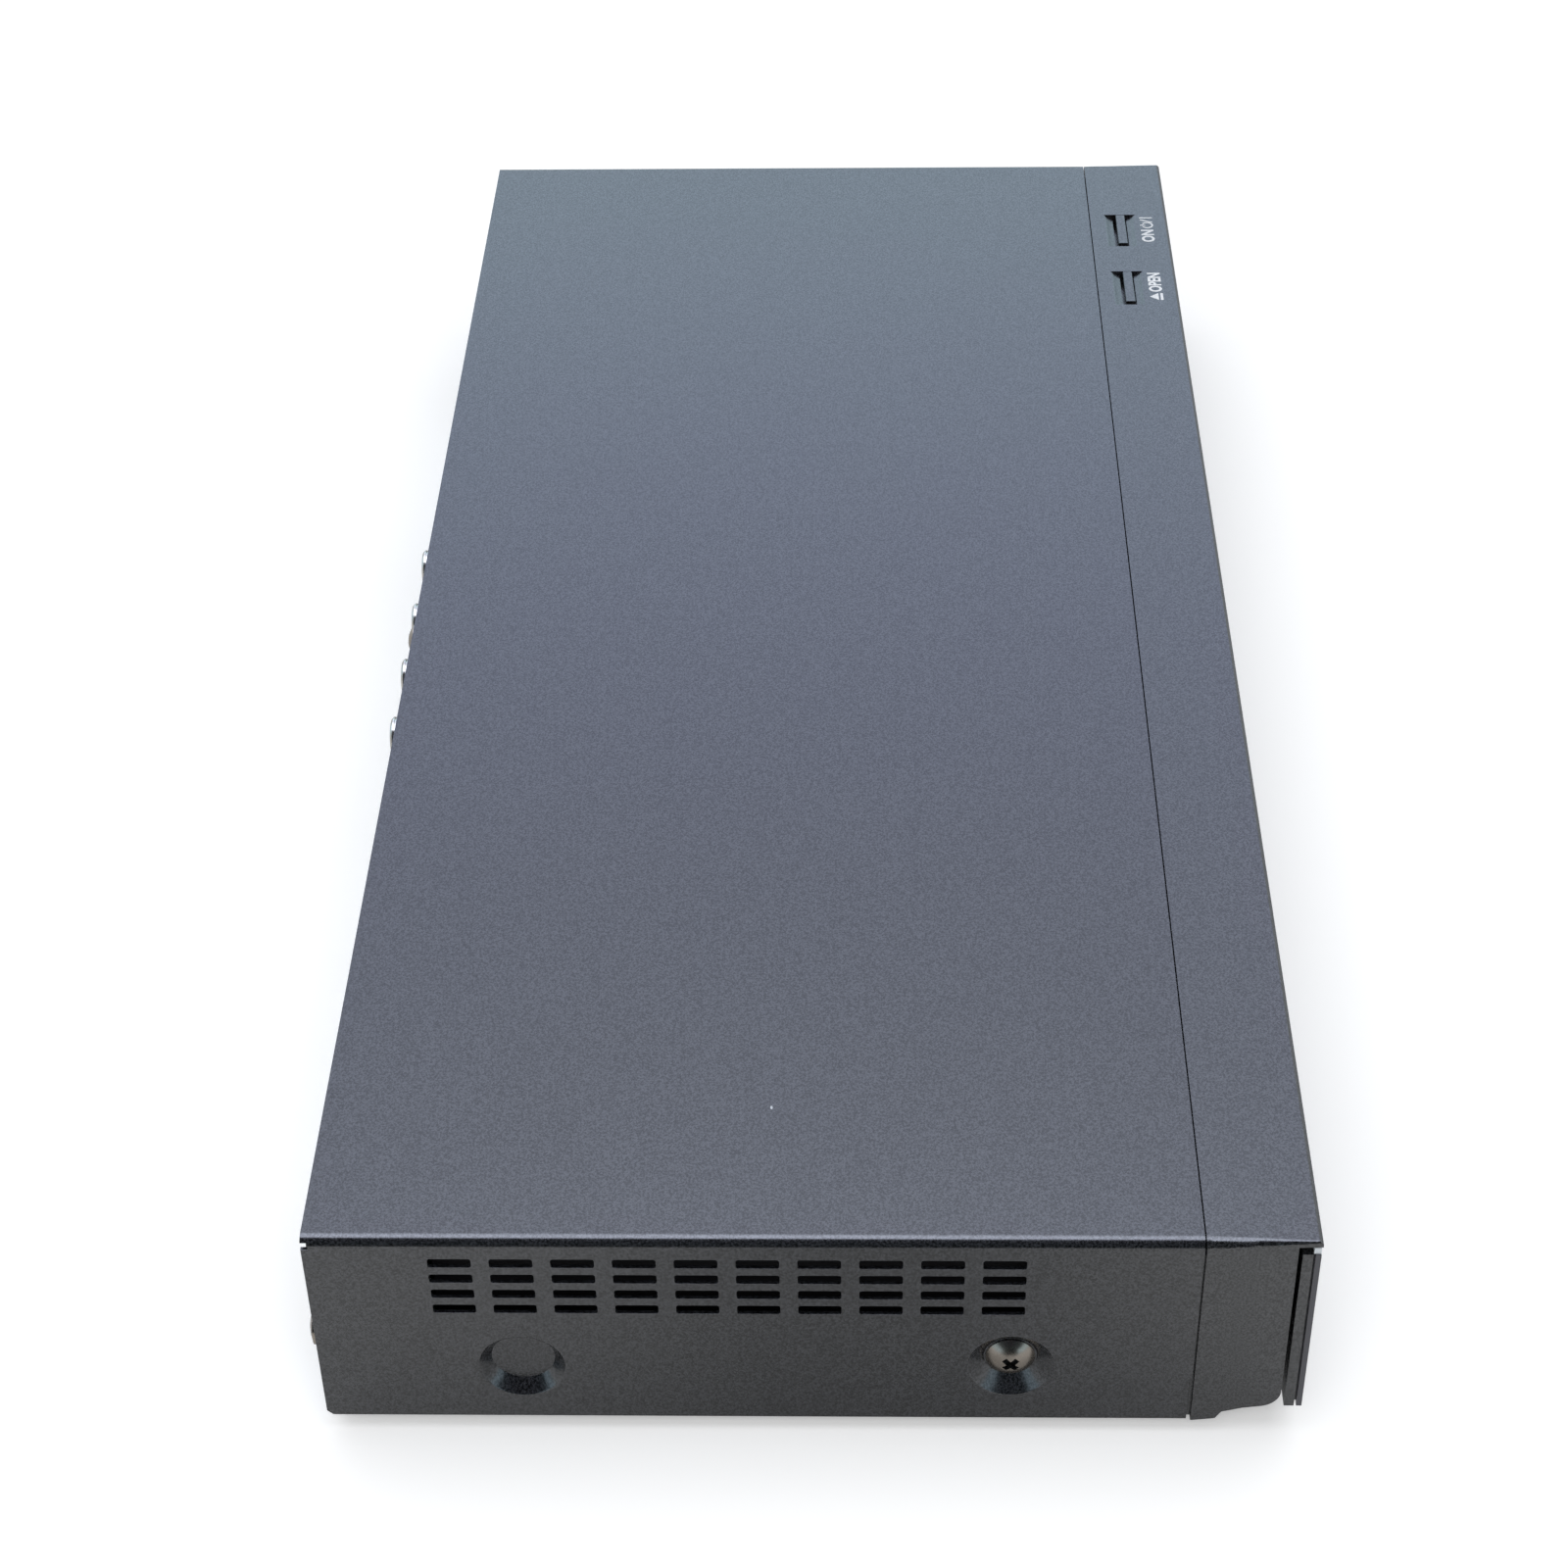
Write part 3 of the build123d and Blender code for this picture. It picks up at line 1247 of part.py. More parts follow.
# Sockets along the back of the arm, as places along X from the disc drive's left side
jack_places = [drive_left + 16 + jack_pitch * number for number in range(3)]
optical_x = drive_left + 60
usb_x = drive_left + 81
lan_x = drive_left + 105
hdmi_x = drive_left + 131
socket_z = board_top
inlet_x = power_x
inlet_size = (27.0, 19.0)
inlet_z = board_top + 3 + inlet_size[1] / 2


def audio_jacks():
    """Return the block of three round jacks."""
    ends = (jack_places[0] - jack_pitch / 2 + 0.2, jack_places[-1] + jack_pitch / 2 - 0.2)
    z = board_top + 8.5
    body = block(ends, (panel_inner - 11, panel_inner), (board_top, board_top + 16))
    for x in jack_places:
        body += rod_y(jack_radius, x, (panel_inner - 1, y_back + jack_reach), z)
        body += rod_y(jack_radius + 1.2, x, (panel_inner - 1, panel_outer + 1.0), z)
    return body - [rod_y(1.65, x, (panel_inner - 4, y_back + jack_reach + 1), z) for x in jack_places]


def optical_socket():
    """Return the square optical socket with its closed shutter."""
    z = (board_top, board_top + 10)
    body = block(around(optical_x, 10), (panel_inner - 12, panel_outer), z)
    body -= block(around(optical_x, 6.4), (panel_outer - 1.2, panel_outer + 1), around(sum(z) / 2, 6.4))
    shutter = (panel_outer - 1.3, panel_outer - 0.5)
    return body + block(around(optical_x, 5.8), shutter, around(sum(z) / 2, 5.8))


def shell_socket(x, width, height, depth, tongue, lift):
    """Return a thin metal socket that is open at the back, with a tongue inside."""
    z = (socket_z + lift, socket_z + lift + height)
    y = (panel_outer - depth, panel_outer + 0.4)
    body = block(around(x, width), y, z)
    body -= block(around(x, width - 0.8), (y[0] + 1.0, y[1] + 1), (z[0] + 0.4, z[1] - 0.4))
    middle = sum(z) / 2
    body += block(around(x, width - 3.4), (y[0] + 0.5, y[1] - 1.2), (middle + 0.3, middle + 0.3 + tongue))
    if lift > 0:
        body += block(around(x, width - 2), (y[0], y[1] - 3), (socket_z, z[0] + 0.1))
    return body


def lan_socket():
    """Return the network socket: a block with a stepped hollow."""
    z = (socket_z, socket_z + 13.5)
    y = (panel_outer - 16, panel_outer)
    body = block(around(lan_x, 16), y, z)
    body -= block(around(lan_x, 11.8), (y[0] + 3, y[1] + 1), (z[0] + 2.6, z[0] + 9.6))
    return body - block(around(lan_x, 6.0), (y[0] + 3, y[1] + 1), (z[0] + 2.0, z[0] + 11.6))


def mains_inlet():
    """Return the two-pin mains inlet."""
    y = (panel_outer - 22, panel_outer + 1.2)
    width, height = inlet_size
    body = block(around(inlet_x, width - 4), (y[0], panel_outer), around(inlet_z, height - 4))
    body += block(around(inlet_x, width), (panel_outer, y[1]), around(inlet_z, height))
    body += block(around(inlet_x, width - 8), (y[0], y[0] + 8), (board_top, inlet_z))
    hollow = Plane.XZ * Pos(inlet_x, inlet_z) * SlotOverall(17.0, 9.4)
    body -= Pos(0, y[1] - 13, 0) * extrude(hollow, 20, dir=(0, 1, 0))
    for way in (-1, 1):
        body += rod_y(1.2, inlet_x + way * 4.3, (y[0] + 2, y[1] - 3.0), inlet_z)
    return body


def rear_panel():
    """Return the steel back with its cut-outs and its fan grille."""
    panel = block((-x_inside + 0.6, x_inside - 0.6), (panel_inner, panel_outer), (z_floor, z_under - 0.5))
    cut = (panel_inner - 1, panel_outer + 1)
    cuts = [rod_y(aerial_radius + bolt_gap, x, cut, aerial_z) for x in aerial_places]
    cuts += [rod_y(jack_radius + 1.3, x, cut, board_top + 8.5) for x in jack_places]
    cuts.append(block(around(optical_x, 10.2), cut, (board_top - 0.1, board_top + 10.1)))
    cuts.append(block(around(usb_x, 13.4), cut, (socket_z + usb_lift - 0.1, socket_z + usb_lift + 5.8)))
    cuts.append(block(around(lan_x, 16.2), cut, (socket_z - 0.1, socket_z + 13.6)))
    cuts.append(block(around(hdmi_x, 15.4), cut, (socket_z + hdmi_lift - 0.1, socket_z + hdmi_lift + 5.7)))
    cuts.append(block(around(inlet_x, inlet_size[0] - 3.8), cut, around(inlet_z, inlet_size[1] - 3.8)))
    for number in range(7):
        drop = (number - 3) * 4.8
        reach = sqrt((fan_size / 2 - 2.5) ** 2 - drop * drop)
        cuts.append(block(around(fan_x, 2 * reach), cut, around(fan_z + drop, 3.0)))
    for sx in (-1, 1):
        for sz in (-1, 1):
            cuts.append(rod_y(screw_shank + bolt_gap, fan_x + sx * 16, cut, fan_z + sz * 16))
    for x, z in back_screw_places:
        cuts.append(rod_y(screw_shank, x, cut, z))
    return panel - cuts


usb_lift = 2.0
hdmi_lift = 1.0


def rear_screws():
    """Return the screws through the cover's back tabs and the fan's four screws."""
    back = Rot(-90, 0, 0) * screw(rear_head, rear_head_height, 5.0)
    low = Rot(-90, 0, 0) * screw(rear_head, low_head_height, 5.0)
    screws = [Pos(top_screw_place[0], y_back, top_screw_place[1]) * back]
    screws += [Pos(x, y_back, z) * low for x, z in low_screw_places]
    fan = Rot(-90, 0, 0) * screw(board_head, board_head_height, 8.0)
    for sx in (-1, 1):
        for sz in (-1, 1):
            screws.append(Pos(fan_x + sx * 16, panel_outer, fan_z + sz * 16) * fan)
    return group(screws)


def side_screws():
    """Return the two screws in the deeper dimples of the cover's sides."""
    screws = []
    for side, y, z, takes_screw in dimple_places():
        if takes_screw:
            body = Rot(0, side * 90, 0) * screw(side_head, side_head_height, 5.0, side_head_rim)
            screws.append(Pos(side * (half_width - dimple_depth), y, z) * body)
    return group(screws)


# Front electronics
front_board_y = (y_body + bezel_wall + 3.4, y_body + bezel_wall + 3.4 + board_thick)
front_board_x = (drive_right + 6.0, half_width - flap_from_end)
card_x = flap_span[0] + 42
front_usb_x = flap_span[1] - 22


def front_board():
    """Return the upright board behind the bezel."""
    board = block(front_board_x, front_board_y, (panel_bottom + 3, z_edge + 35.5))
    return board


def display_unit():
    """Return the display behind the window."""
    z = around(z_edge + display_low + display_height / 2, display_height - 1)
    return block(around(display_x, display_width - 1), (y_body + 0.4, front_board_y[0]), z)


def card_socket():
    """Return the socket for two cards behind the flap door."""
    z = (flap_low + 6, flap_low + 17)
    y = (y_body + 0.4, front_board_y[0])
    body = block(around(card_x, 58), y, z)
    body -= block(around(card_x, 54.5), (y[0] - 1, y[1] - 0.8), (z[0] + 2, z[0] + 3.2))
    return body - block(around(card_x - 12, 24.4), (y[0] - 1, y[1] - 0.8), (z[0] + 6.4, z[0] + 8.8))


def front_usb():
    """Return the USB socket behind the flap door."""
    z = around(flap_low + 12, 5.7)
    y = (y_body + 0.4, front_board_y[0])
    body = block(around(front_usb_x, 13.2), y, z)
    body -= block(around(front_usb_x, 12.4), (y[0] - 1, y[1] - 0.6), (z[0] + 0.4, z[1] - 0.4))
    tongue_low = sum(z) / 2 + 0.2
    return body + block(around(front_usb_x, 9.8), (y[0] + 1.0, y[1] - 0.5), (tongue_low, tongue_low + 1.8))


def drive_lead():
    """Return the flat cable from the disc drive's back to its connector on the main board."""
    x, height = hdmi_x - 3, tray_z - 9.5
    lead = block(around(x, 16), (drive_rear, drive_rear + 8.6), (height, height + 0.6))
    lead += block(around(x, 16), (drive_rear + 8.0, drive_rear + 8.6), (board_top, height + 0.6))
    return lead + block(around(x, 20), (drive_rear + 6.6, drive_rear + 9.6), (board_top, board_top + 3.4))


def front_lead():
    """Return the flat cable from the front board to the main board."""
    x = (disk_x + disk_length / 2 + 2.5, disk_x + disk_length / 2 + 9.5)
    start, end, height = front_board_y[1], board_front + 6, board_top + 4.6
    lead = block(x, (start, end), (height, height + 0.6))
    lead += block(x, (start, start + 2.4), (height - 2, height + 2.6))
    return lead + block(x, (end - 2.6, end), (board_top, height + 1.2))


def disk_lead():
    """Return the hard disk's connector and its cable to the main board."""
    end, low = disk_x - disk_length / 2, z_floor + disk_lift
    lead = block((end - 3, end + 6), around(disk_y - 20, 32), (low + 2, low + 6))
    lead += block((end - 3, end - 2.4), (disk_y - 5, board_front + 8), (low + 2, low + 8))
    lead += block((end - 3, end + 6), (board_front + 7.4, board_front + 8), (board_top, board_top + 5))
    return lead


def power_lead():
    """Return the supply's flat lead across to the main board."""
    x, y = (power_left - 14.4, power_left + 5.6), (54.0, 64.0)
    lead = block(x, y, (board_top + 3.4, board_top + 4.0))
    lead += block((x[0], x[0] + 3), y, (board_top, board_top + 5))
    return lead + block((x[1] - 3, x[1]), y, (board_top, board_top + 5))


def key_lead():
    """Return the short flat cable from the key board down to the front board."""
    low = z_edge + 33.0
    return block(around(key_spans[1][0] + 6, 10), (front_board_y[1], front_board_y[1] + 0.6),
                 (low, key_board_top - board_thick))


nodes = {
    "top_cover": top_cover(),
    "chassis_base": chassis_base(),
    "rear_panel": rear_panel(),
    "feet": group([foot(x, y) for x, y in foot_places]),
    "foot_pads": group([foot_pad(x, y) for x, y in foot_places]),
    "side_screws": side_screws(),
    "rear_screws": rear_screws(),
    "board_screws": board_screws(),
    "board_posts": board_posts(),
    "front_bezel": front_bezel(),
    "front_backing": front_backing(),
    "front_window": front_window(),
    "light_strip": block((-half_width + 0.4, half_width - 0.4), (window_front, window_rear),
                         (window_top + 0.05, window_top + 0.05 + strip_height)),
    "tray_lid": block(lid_span, (backing_front, backing_rear), lid_z),
    "tray_lid_window": block(lid_span, (window_front, window_rear), lid_z),
    "flap_door": flap_door(),
    "flap_window": block(flap_span, (window_front, window_rear), (flap_low, flap_high)),
    "power_key": key(key_spans[0]),
    "eject_key": key(key_spans[1]),
    "power_plunger": plunger(key_spans[0]),
    "eject_plunger": plunger(key_spans[1]),
    "switches": group([switch(span) for span in key_spans]),
    "key_board": key_board(),
    "front_board": front_board(),
    "display_unit": display_unit(),
    "card_socket": card_socket(),
    "front_usb": front_usb(),
    "drive_chassis": drive_chassis(),
    "drive_cover": drive_cover(),
    "disc_tray": disc_tray(),
    "tray_gear": tray_gear(),
    "pulley_gear": pulley_gear(),
    "loading_belt": loading_belt(),
    "motor_pulley": motor_pulley(),
    "loading_motor": loading_motor(),
    "traverse_frame": traverse_frame(),
    "lift_slider": lift_slider(),
    "guide_rods": group([rod_y(rod_radius, drive_x + side * rod_from_middle, rod_span, rod_z_axis)
                         for side in (-1, 1)]),
    "pickup_sled": pickup_sled(),
    "pickup_lens": pickup_lens(),
    "lead_screw": lead_screw(),
    "sled_motor": sled_motor(),
    "spindle_motor": spindle_motor(),
    "turntable": turntable(),
    "disc_clamper": disc_clamper(),
    "hard_disk": hard_disk(),
    "disk_bracket": disk_bracket(),
    "main_board": main_board(),
    "chips": chips(),
    "heat_sink": heat_sink(),
    "power_board": power_board(),
    "power_parts": power_parts(),
    "tuner_cans": tuner_cans(),
    "aerial_connectors": group([aerial_connector(x) for x in aerial_places]),
    "fan_frame": fan_frame(),
    "fan_rotor": fan_rotor(),
    "rear_sockets": group([shell_socket(usb_x, 13.2, 5.7, 14, 1.8, usb_lift), optical_socket(),
                           shell_socket(hdmi_x, 15.2, 5.6, 12, 0.9, hdmi_lift), lan_socket()]),
    "audio_jacks": audio_jacks(),
    "mains_inlet": mains_inlet(),
    "flat_cables": group([drive_lead(), front_lead(), disk_lead(), power_lead(), key_lead()]),
}

os.makedirs("parts", exist_ok=True)
for name, shape in nodes.items():
    export_step(shape, f"parts/{name}.step")

print("nodes", len(nodes))
print("lift angle", round(lift_angle, 4), "pivot", round(drive_x, 3), round(pivot_y, 3), round(pivot_z, 3))
print("train", round(gear_x, 3), round(pulley_x, 3), round(motor_x, 3), round(train_y, 3))
print("disc", round(disc_y, 3), "sled", round(sled_y, 3), "screw", round(screw_x, 3), round(screw_z, 3))
print("fan", round(fan_x, 3), round(fan_z, 3), "flap axis", [round(value, 3) for value in flap_axis])
print("keys", key_spans, round(key_rib_y, 3), "aerials", aerial_places, round(aerial_z, 3))
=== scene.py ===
"""Dress the disc recorder: its finishes, printed marks, small pieces, floor, light and camera."""
from __future__ import annotations

import json
import logging
import math
from dataclasses import dataclass, field
from enum import Enum
from typing import Sequence

import bpy
from mathutils import Matrix, Vector

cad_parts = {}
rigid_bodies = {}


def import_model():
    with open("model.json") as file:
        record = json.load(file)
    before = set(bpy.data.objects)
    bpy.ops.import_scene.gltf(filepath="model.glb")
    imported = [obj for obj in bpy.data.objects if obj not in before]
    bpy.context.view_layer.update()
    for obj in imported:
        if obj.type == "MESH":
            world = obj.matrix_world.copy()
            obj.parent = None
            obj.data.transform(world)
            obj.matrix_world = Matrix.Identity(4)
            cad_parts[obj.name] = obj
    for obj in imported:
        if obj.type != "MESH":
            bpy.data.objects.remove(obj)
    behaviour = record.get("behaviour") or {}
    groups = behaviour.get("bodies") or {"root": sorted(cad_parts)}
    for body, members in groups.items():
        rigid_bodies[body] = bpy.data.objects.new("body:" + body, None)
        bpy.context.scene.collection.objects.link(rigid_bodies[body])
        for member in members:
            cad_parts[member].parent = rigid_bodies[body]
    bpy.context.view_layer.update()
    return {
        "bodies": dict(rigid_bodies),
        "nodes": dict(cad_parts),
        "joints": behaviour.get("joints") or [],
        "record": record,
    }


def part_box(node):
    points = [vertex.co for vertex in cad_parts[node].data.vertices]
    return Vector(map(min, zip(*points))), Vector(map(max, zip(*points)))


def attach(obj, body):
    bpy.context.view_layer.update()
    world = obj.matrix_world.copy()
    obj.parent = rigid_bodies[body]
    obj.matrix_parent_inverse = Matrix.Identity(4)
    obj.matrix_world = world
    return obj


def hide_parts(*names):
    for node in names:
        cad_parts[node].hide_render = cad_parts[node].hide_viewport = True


log = logging.getLogger("recorder")

Colour = tuple[float, float, float]
Point = tuple[float, float, float]
Span = tuple[float, float]
Ease = tuple[float, float, float, float]

SIDE_FACE = 0.2148
SMOOTH_ANGLE = math.radians(30.0)
WELD_GAP = 0.000001


class Ray(Enum):
    """The kinds of ray that the floor and the room answer differently."""

    CAMERA = "Is Camera Ray"
    GLOSS = "Is Glossy Ray"
    CLEAR = "Is Transmission Ray"


class Term:
    """One shader socket that Python expressions can work on."""

    def __init__(self, graph: "Graph", socket: bpy.types.NodeSocket) -> None:
        """Keep the graph and the output socket that this term stands for."""
        self.graph = graph
        self.socket = socket

    def _join(self, operation: str, left: object, right: object) -> "Term":
        """Return a Math node's result for two numbers or terms."""
        return self.graph.node("ShaderNodeMath", {"operation": operation}, {0: left, 1: right})

    def __add__(self, other: object) -> "Term":
        """Return the sum."""
        return self._join("ADD", self, other)

    def __radd__(self, other: object) -> "Term":
        """Return the sum with a number on the left."""
        return self._join("ADD", other, self)

    def __sub__(self, other: object) -> "Term":
        """Return the difference."""
        return self._join("SUBTRACT", self, other)

    def __rsub__(self, other: object) -> "Term":
        """Return the difference from a number."""
        return self._join("SUBTRACT", other, self)

    def __mul__(self, other: object) -> "Term":
        """Return the product."""
        return self._join("MULTIPLY", self, other)

    def __rmul__(self, other: object) -> "Term":
        """Return the product with a number on the left."""
        return self._join("MULTIPLY", other, self)

    def __truediv__(self, other: object) -> "Term":
        """Return the quotient."""
        return self._join("DIVIDE", self, other)

    def __lt__(self, other: object) -> "Term":
        """Return 1 where this term is below the other."""
        return self._join("LESS_THAN", self, other)

    def __gt__(self, other: object) -> "Term":
        """Return 1 where this term is above the other."""
        return self._join("GREATER_THAN", self, other)

    def absolute(self) -> "Term":
        """Return the size of the term without its sign."""
        return self.graph.node("ShaderNodeMath", {"operation": "ABSOLUTE"}, {0: self})

    def smooth(self, low: float, high: float, start: float = 0.0, end: float = 1.0) -> "Term":
        """Return the term eased from start, at and below low, to end, at and above high."""
        values = {"Value": self, "From Min": low, "From Max": high, "To Min": start, "To Max": end}
        return self.graph.node("ShaderNodeMapRange", {"interpolation_type": "SMOOTHSTEP"}, values,
                               "Result")


class Graph:
    """A material's or world's node graph, built through one method."""

    def __init__(self, tree: bpy.types.NodeTree) -> None:
        """Clear the tree and keep it."""
        self.tree = tree
        self.tree.nodes.clear()

    def node(self, kind: str, settings: dict | None = None, values: dict | None = None,
             output: int | str = 0) -> Term:
        """Add a node.

        Args:
            kind: The node's type name.
            settings: The node's own properties, set first.
            values: Socket name or number to a plain value or a term.
            output: The name or number of the output that is wanted.

        Returns:
            The term of that output.
        """
        made = self.tree.nodes.new(kind)
        for name, value in (settings or {}).items():
            setattr(made, name, value)
        for name, value in (values or {}).items():
            if isinstance(value, Term):
                self.tree.links.new(value.socket, made.inputs[name])
            else:
                made.inputs[name].default_value = value
        return Term(self, made.outputs[output])

    def blend(self, amount: object, first: object, second: object) -> Term:
        """Return a mix of two colours or terms, where amount is the second one's share."""
        first, second = (part if isinstance(part, Term) else (*part, 1.0) for part in (first, second))
        return self.node("ShaderNodeMix", {"data_type": "RGBA"}, {0: amount, 6: first, 7: second}, 2)

    def place(self) -> Term:
        """Return the place on the piece, in metres."""
        return self.node("ShaderNodeTexCoord", output="Object")

    def axes(self, vector: Term) -> tuple[Term, ...]:
        """Return the terms of a vector's X, Y and Z."""
        split = self.node("ShaderNodeSeparateXYZ", {}, {0: vector}).socket.node
        return tuple(Term(self, output) for output in split.outputs)

    def stretched(self, scale: Point) -> Term:
        """Return the place with each axis multiplied by its own factor."""
        return self.node("ShaderNodeVectorMath", {"operation": "MULTIPLY"}, {0: self.place(), 1: scale})

    def noise(self, scale: float, detail: float = 2.0, roughness: float = 0.5,
              vector: Term | None = None) -> Term:
        """Return noise from 0 to 1, with a scale in features to the metre of the piece or vector."""
        values = {"Vector": vector or self.place(), "Scale": scale, "Detail": detail,
                  "Roughness": roughness}
        return self.node("ShaderNodeTexNoise", {}, values, "Fac")

    def ray(self, kind: Ray) -> Term:
        """Return 1 for rays of one kind and 0 for the others."""
        return self.node("ShaderNodeLightPath", output=kind.value)

    def scaled(self, colour: object, amount: Term) -> Term:
        """Return a colour or its term multiplied by a number's term."""
        return self.node("ShaderNodeVectorMath", {"operation": "SCALE"}, {0: colour, "Scale": amount})

    def bump(self, height: Term, depth: float) -> Term:
        """Return a normal bent by a height from 0 to 1, where 1 stands for a depth in metres."""
        return self.node("ShaderNodeBump", {}, {"Height": height, "Distance": depth, "Strength": 1.0})

    def finish(self, shader: Term, kind: str = "ShaderNodeOutputMaterial") -> None:
        """Join a shader to a new output node of a kind."""
        output = self.tree.nodes.new(kind)
        self.tree.links.new(shader.socket, output.inputs["Surface"])


@dataclass(frozen=True)
class Finish:
    """A finish with a name and the plain values of its shader."""

    name: str
    colour: Colour = (0.5, 0.5, 0.5)
    roughness: float = 0.5
    metallic: float = 0.0
    specular: float = 0.5
    ior: float = 1.5

    def material(self) -> bpy.types.Material:
        """Return this finish's material, made once.

        Returns:
            The material.
        """
        found = bpy.data.materials.get(self.name)
        if found is not None:
            return found
        made = bpy.data.materials.new(self.name)
        made.use_nodes = True
        made.diffuse_color = (*self.colour, 1.0)
        graph = Graph(made.node_tree)
        graph.finish(self.shade(graph))
        return made

    def toned(self, share: float) -> Colour:
        """Return the finish's colour at a share of its lightness."""
        return tuple(share * part for part in self.colour)

    def principled(self, graph: Graph, tint: Term, rough: object, values: dict | None = None) -> Term:
        """Return the main shader with a tint, a roughness and values besides the finish's own."""
        own = {"Base Color": tint, "Roughness": rough, "Metallic": self.metallic,
               "Specular IOR Level": self.specular, "IOR": self.ior}
        return graph.node("ShaderNodeBsdfPrincipled", {}, {**own, **(values or {})})

    def shade(self, graph: Graph) -> Term:
        """Return the shader of a plain moulded surface with faint cloudiness.

        Args:
            graph: The material's graph.

        Returns:
            The shader's term.
        """
        cloud = graph.noise(40.0, 3.0)
        tint = graph.blend(cloud.smooth(0.35, 0.65), self.colour, self.toned(0.86))
        rough = cloud * 0.08 + (self.roughness - 0.04)
        return self.principled(graph, tint, rough)


@dataclass(frozen=True)
class SatinCoat(Finish):
    """The cover's dark satin paint: fine orange peel, specks of lint and faint rub marks."""

    lint: Colour = (0.5, 0.52, 0.54)
    peel_depth: float = 0.000007
    lint_share: float = 0.5
    grain: float = 2300.0
    fleck_band: Span = (0.36, 0.64)
    fleck_gain: float = 3.4
    fleck_floor: float = 0.25
    lint_size: float = 0.0075
    matt_share: float = 0.27

    def shade(self, graph: Graph) -> Term:
        """Return the paint's shader.

        Args:
            graph: The material's graph.

        Returns:
            The shader's term.
        """
        peel = graph.noise(self.grain, 2.0)
        flecks = graph.noise(self.grain, 2.0, 0.7)
        cloud = graph.noise(9.0, 2.0)
        rub = graph.noise(1.0, 3.0, 0.6, graph.stretched((30.0, 420.0, 420.0)))
        speck = self.specks(graph)
        paint = graph.blend(flecks.smooth(*self.fleck_band), self.toned(self.fleck_floor),
                            self.toned(self.fleck_gain))
        tint = graph.blend(speck * 0.8, paint, self.lint)
        rough = cloud * 0.04 + rub * 0.04 + flecks * 0.06 + speck * 0.25 + (self.roughness - 0.07)
        normal = graph.bump(peel * 0.6 + flecks * 0.4 + speck, self.peel_depth)
        metal = flecks.smooth(*self.fleck_band, self.matt_share, 0.0)
        return self.principled(graph, tint, rough, {"Metallic": metal, "Normal": normal})

    def specks(self, graph: Graph) -> Term:
        """Return sparse short hairs of lint as 1 on bare paint as 0.

        Args:
            graph: The material's graph.

        Returns:
            The mask's term.
        """
        bent = graph.noise(260.0, 1.0)
        shift = graph.node("ShaderNodeCombineXYZ", {}, {0: bent * 0.02, 1: bent * 0.05})
        cells = graph.node("ShaderNodeVectorMath", {"operation": "ADD"},
                           {0: graph.stretched((13.0, 26.0, 26.0)), 1: shift})
        spots = {"Vector": cells, "Scale": 1.0}
        near = graph.node("ShaderNodeTexVoronoi", {}, spots, "Distance") < self.lint_size
        chance = graph.axes(graph.node("ShaderNodeTexVoronoi", {}, spots, "Color"))[0] > self.lint_share
        return near * chance


@dataclass(frozen=True)
class GrainedPlastic(Finish):
    """Moulded plastic with a fine spark-eroded grain."""

    grain: float = 1800.0
    depth: float = 0.000006

    def shade(self, graph: Graph) -> Term:
        """Return the plastic's shader.

        Args:
            graph: The material's graph.

        Returns:
            The shader's term.
        """
        pits = graph.noise(self.grain, 3.0, 0.6)
        cloud = graph.noise(22.0, 2.0)
        tint = graph.blend(cloud.smooth(0.3, 0.7), self.colour, self.toned(0.88))
        rough = pits * 0.1 + cloud * 0.05 + (self.roughness - 0.075)
        return self.principled(graph, tint, rough, {"Normal": graph.bump(pits, self.depth)})


@dataclass(frozen=True)
class SmokedAcrylic(Finish):
    """Polished dark acrylic with hairline wipe marks."""

    alpha: float = 1.0

    def shade(self, graph: Graph) -> Term:
        """Return the acrylic's shader.

        Args:
            graph: The material's graph.

        Returns:
            The shader's term.
        """
        wipes = graph.noise(1.0, 3.0, 0.6, graph.stretched((60.0, 900.0, 900.0)))
        smear = graph.noise(14.0, 3.0)
        rough = wipes.smooth(0.5, 0.8) * 0.05 + smear * 0.04 + self.roughness
        tint = graph.blend(smear, self.colour, self.toned(0.8))
        return self.principled(graph, tint, rough, {"Alpha": self.alpha})


@dataclass(frozen=True)
class PlatedSteel(Finish):
    """Plated sheet steel: soft crystal patches with drawn lines."""

    lines: Point = (8.0, 900.0, 900.0)

    def shade(self, graph: Graph) -> Term:
        """Return the steel's shader.

        Args:
            graph: The material's graph.

        Returns:
            The shader's term.
        """
        crystals = {"Vector": graph.place(), "Scale": 260.0}
        patch = graph.axes(graph.node("ShaderNodeTexVoronoi", {}, crystals, "Color"))[0]
        drawn = graph.noise(1.0, 3.0, 0.6, graph.stretched(self.lines))
        shade = patch * 0.5 + drawn * 0.5
        tint = graph.blend(shade, self.toned(0.78), self.colour)
        rough = shade * 0.16 + (self.roughness - 0.08)
        return self.principled(graph, tint, rough, {"Normal": graph.bump(drawn, 0.000004)})


@dataclass(frozen=True)
class TurnedMetal(Finish):
    """Bright turned or rolled metal with fine wear."""

    def shade(self, graph: Graph) -> Term:
        """Return the metal's shader.

        Args:
            graph: The material's graph.

        Returns:
            The shader's term.
        """
        wear = graph.noise(700.0, 4.0, 0.65)
        stain = graph.noise(120.0, 2.0)
        tint = graph.blend(stain.smooth(0.45, 0.75), self.colour, self.toned(0.72))
        rough = wear * 0.2 + (self.roughness - 0.1)
        return self.principled(graph, tint, rough, {"Normal": graph.bump(wear, 0.000008)})


